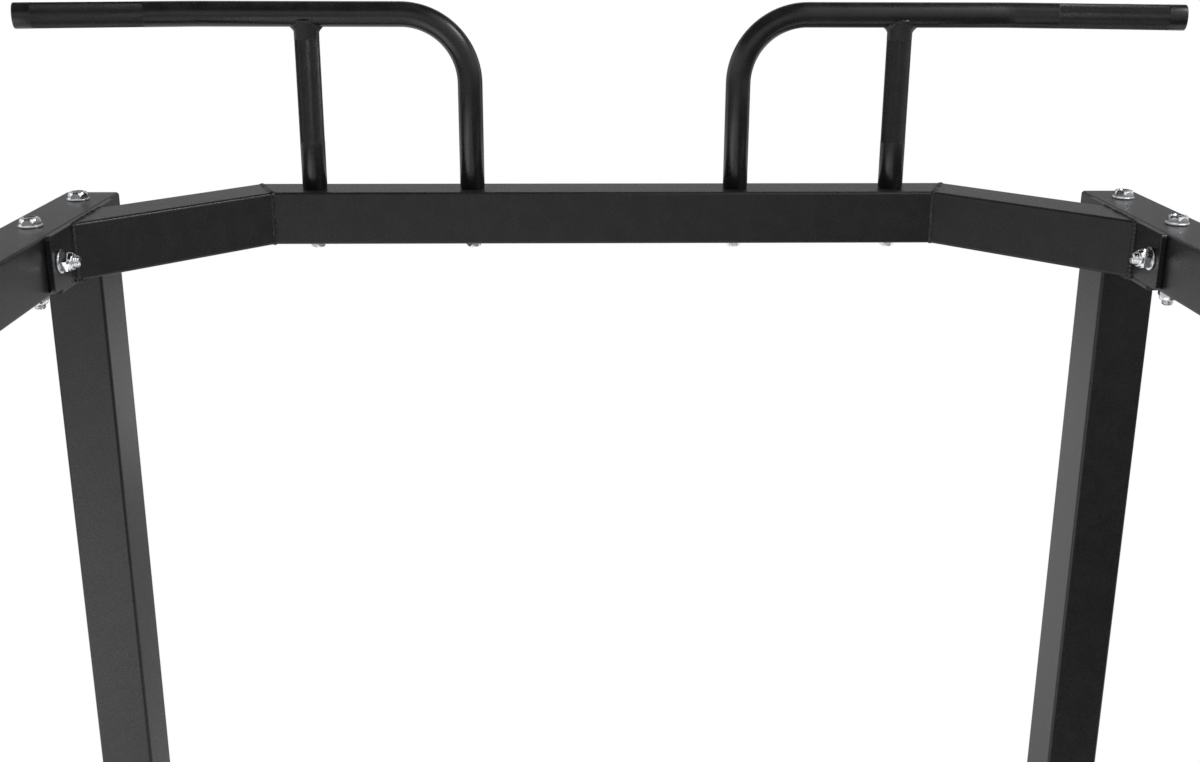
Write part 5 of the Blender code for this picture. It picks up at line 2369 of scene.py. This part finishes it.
@dataclass(frozen=True)
class Studio:
    """The camera, the lamps, the world and the floor."""

    focal_pixels: float = 1376.56
    pitch: float = 0.2910
    yaw: float = 0.0267
    roll: float = 0.0034
    horizon_row: float = 340.0
    camera_place: tuple[float, float, float] = (-0.0462, -0.8841, 2.2884)
    sensor: float = 36.0
    aim: tuple[float, float, float] = (0.0, 0.1, 1.3)
    ambient: float = 0.55
    card_corner: float = 0.05
    card_thickness: float = 0.01
    floor_size: float = 60.0
    floor_thickness: float = 0.02
    floor_sides: int = 96
    floor_colour: Colour = (0.80, 0.80, 0.80)
    fade_start: float = 1.5
    fade_end: float = 2.6

    def camera(self) -> None:
        """Sets the camera up at the photograph's viewing angle."""
        forward = Vector(
            (
                math.sin(self.yaw) * math.cos(self.pitch),
                math.cos(self.yaw) * math.cos(self.pitch),
                -math.sin(self.pitch),
            )
        )
        level = Vector((math.cos(self.yaw), -math.sin(self.yaw), 0.0))
        above = level.cross(forward)
        right = level * math.cos(self.roll) + above * math.sin(self.roll)
        up = above * math.cos(self.roll) - level * math.sin(self.roll)
        lens = bpy.data.cameras.new("photo_view")
        lens.sensor_width = self.sensor
        lens.lens = self.focal_pixels / IMAGE_WIDTH * self.sensor
        lens.shift_y = (self.horizon_row - IMAGE_HEIGHT / 2) / IMAGE_WIDTH
        lens.clip_start = 0.01
        lens.clip_end = 200.0
        camera = in_scene("photo_view", lens)
        turn = Matrix((right, up, -forward)).transposed().to_4x4()
        camera.matrix_world = Matrix.Translation(self.camera_place) @ turn
        bpy.context.scene.camera = camera

    def lamps(self) -> None:
        """Hangs the soft lamps."""
        for lamp in Lamp:
            place, width, height, power, glossy = lamp.value
            data = bpy.data.lights.new(f"softbox_{lamp.name.lower()}", "AREA")
            data.shape = "RECTANGLE"
            data.size = width
            data.size_y = height
            data.energy = power
            light = in_scene(data.name, data)
            light.location = place
            aim = Vector(self.aim) - Vector(place)
            light.rotation_euler = aim.to_track_quat("-Z", "Y").to_euler()
            light.visible_camera = False
            light.visible_glossy = glossy

    def cards(self) -> None:
        """Stands the grey cards round the rack, out of the camera's sight."""
        for card in Card:
            place, width, height, facing, left, right = card.value
            name = f"card_{card.name.lower()}"
            outline = rounded_outline(width, height, self.card_corner, 3)
            sheet = extruded(outline, -self.card_thickness / 2, self.card_thickness / 2)
            turn = Vector(facing.value).to_track_quat("Z", "Y").to_matrix().to_4x4()
            moved(sheet, shifted(*place), turn)
            bench = SurfaceBench(name)
            along = bench.add("ShaderNodeSeparateXYZ", {0: bench.place})["X"]
            grey = bench.ramp(along, place[0] - width / 2, place[0] + width / 2, left, right)
            sheet.materials.append(bench.show(bench.add("ShaderNodeEmission", {"Strength": grey})[0]))
            thing = in_scene(name, sheet)
            for rays in ("camera", "diffuse", "transmission", "shadow"):
                setattr(thing, f"visible_{rays}", False)
            thing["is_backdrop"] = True

    def seen(self, bench: NodeBench) -> NodeSocket:
        """1 for what the camera sees, directly, through glass or in a reflection, and 0 for other light.

        Args:
            bench: the nodes that use it.

        Returns:
            The number's socket.
        """
        rays = bench.add("ShaderNodeLightPath")
        direct = bench.math("MAXIMUM", rays["Is Camera Ray"], rays["Is Transmission Ray"])
        return bench.math("MAXIMUM", direct, rays["Is Glossy Ray"])

    def world(self) -> None:
        """An even pale surround that the camera and reflections see as white."""
        world = bpy.data.worlds.new("studio")
        world.use_nodes = True
        bench = NodeBench(world.node_tree)
        strength = bench.ramp(self.seen(bench), out_low=self.ambient)
        bench.wire(world.node_tree.nodes["Background"], {"Color": WHITE, "Strength": strength})
        bpy.context.scene.world = world

    def floor(self) -> None:
        """A pale floor that keeps the rack's shadow and fades to white further out."""
        outline = round_outline(self.floor_size / 2, self.floor_sides)
        mesh = extruded(outline, -self.floor_thickness, 0.0)
        bench = SurfaceBench("pale_floor")
        coat = {"Base Color": (*self.floor_colour, 1.0), "Roughness": 0.75, "Specular IOR Level": 0.2}
        pale = bench.wire(bench.shader, coat)[0]
        distance = bench.add("ShaderNodeVectorMath", {0: bench.place}, operation="LENGTH")["Value"]
        fade = bench.ramp(distance, self.fade_start, self.fade_end)
        share = bench.math("MULTIPLY", fade, self.seen(bench))
        white = bench.add("ShaderNodeEmission", {"Color": WHITE, "Strength": 1.0})[0]
        mixed = bench.add("ShaderNodeMixShader", {0: share, 1: pale, 2: white})[0]
        mesh.materials.append(bench.show(mixed))
        in_scene("studio_floor", mesh)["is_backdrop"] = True

    def build(self) -> None:
        """Sets up the whole studio."""
        self.camera()
        self.lamps()
        self.cards()
        self.world()
        self.floor()
        bpy.context.scene.view_settings.view_transform = "Standard"


def write_sizes() -> None:
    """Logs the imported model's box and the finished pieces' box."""
    boxes = {
        "cad": [[float(number) for number in corner] for corner in CAD_BOX],
        "visual": [[float(number) for number in corner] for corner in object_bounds()],
    }
    for name, corners in boxes.items():
        LOG.info("%s box: %s", name, corners)


def main() -> None:
    """Builds the rack's sub-assemblies in order, then the studio."""
    logging.basicConfig(level=logging.INFO, format="%(name)s: %(message)s")
    assemblies = (
        Uprights(),
        SideFrames(),
        BowedCrossmember(),
        StraightCrossmembers(),
        Grips(),
        Fasteners(),
        SafetyRods(),
        JHooks(),
        Studio(),
    )
    for assembly in assemblies:
        assembly.build()
        LOG.info("%s built", type(assembly).__name__)
    write_sizes()


if __name__ == "__main__":
    main()
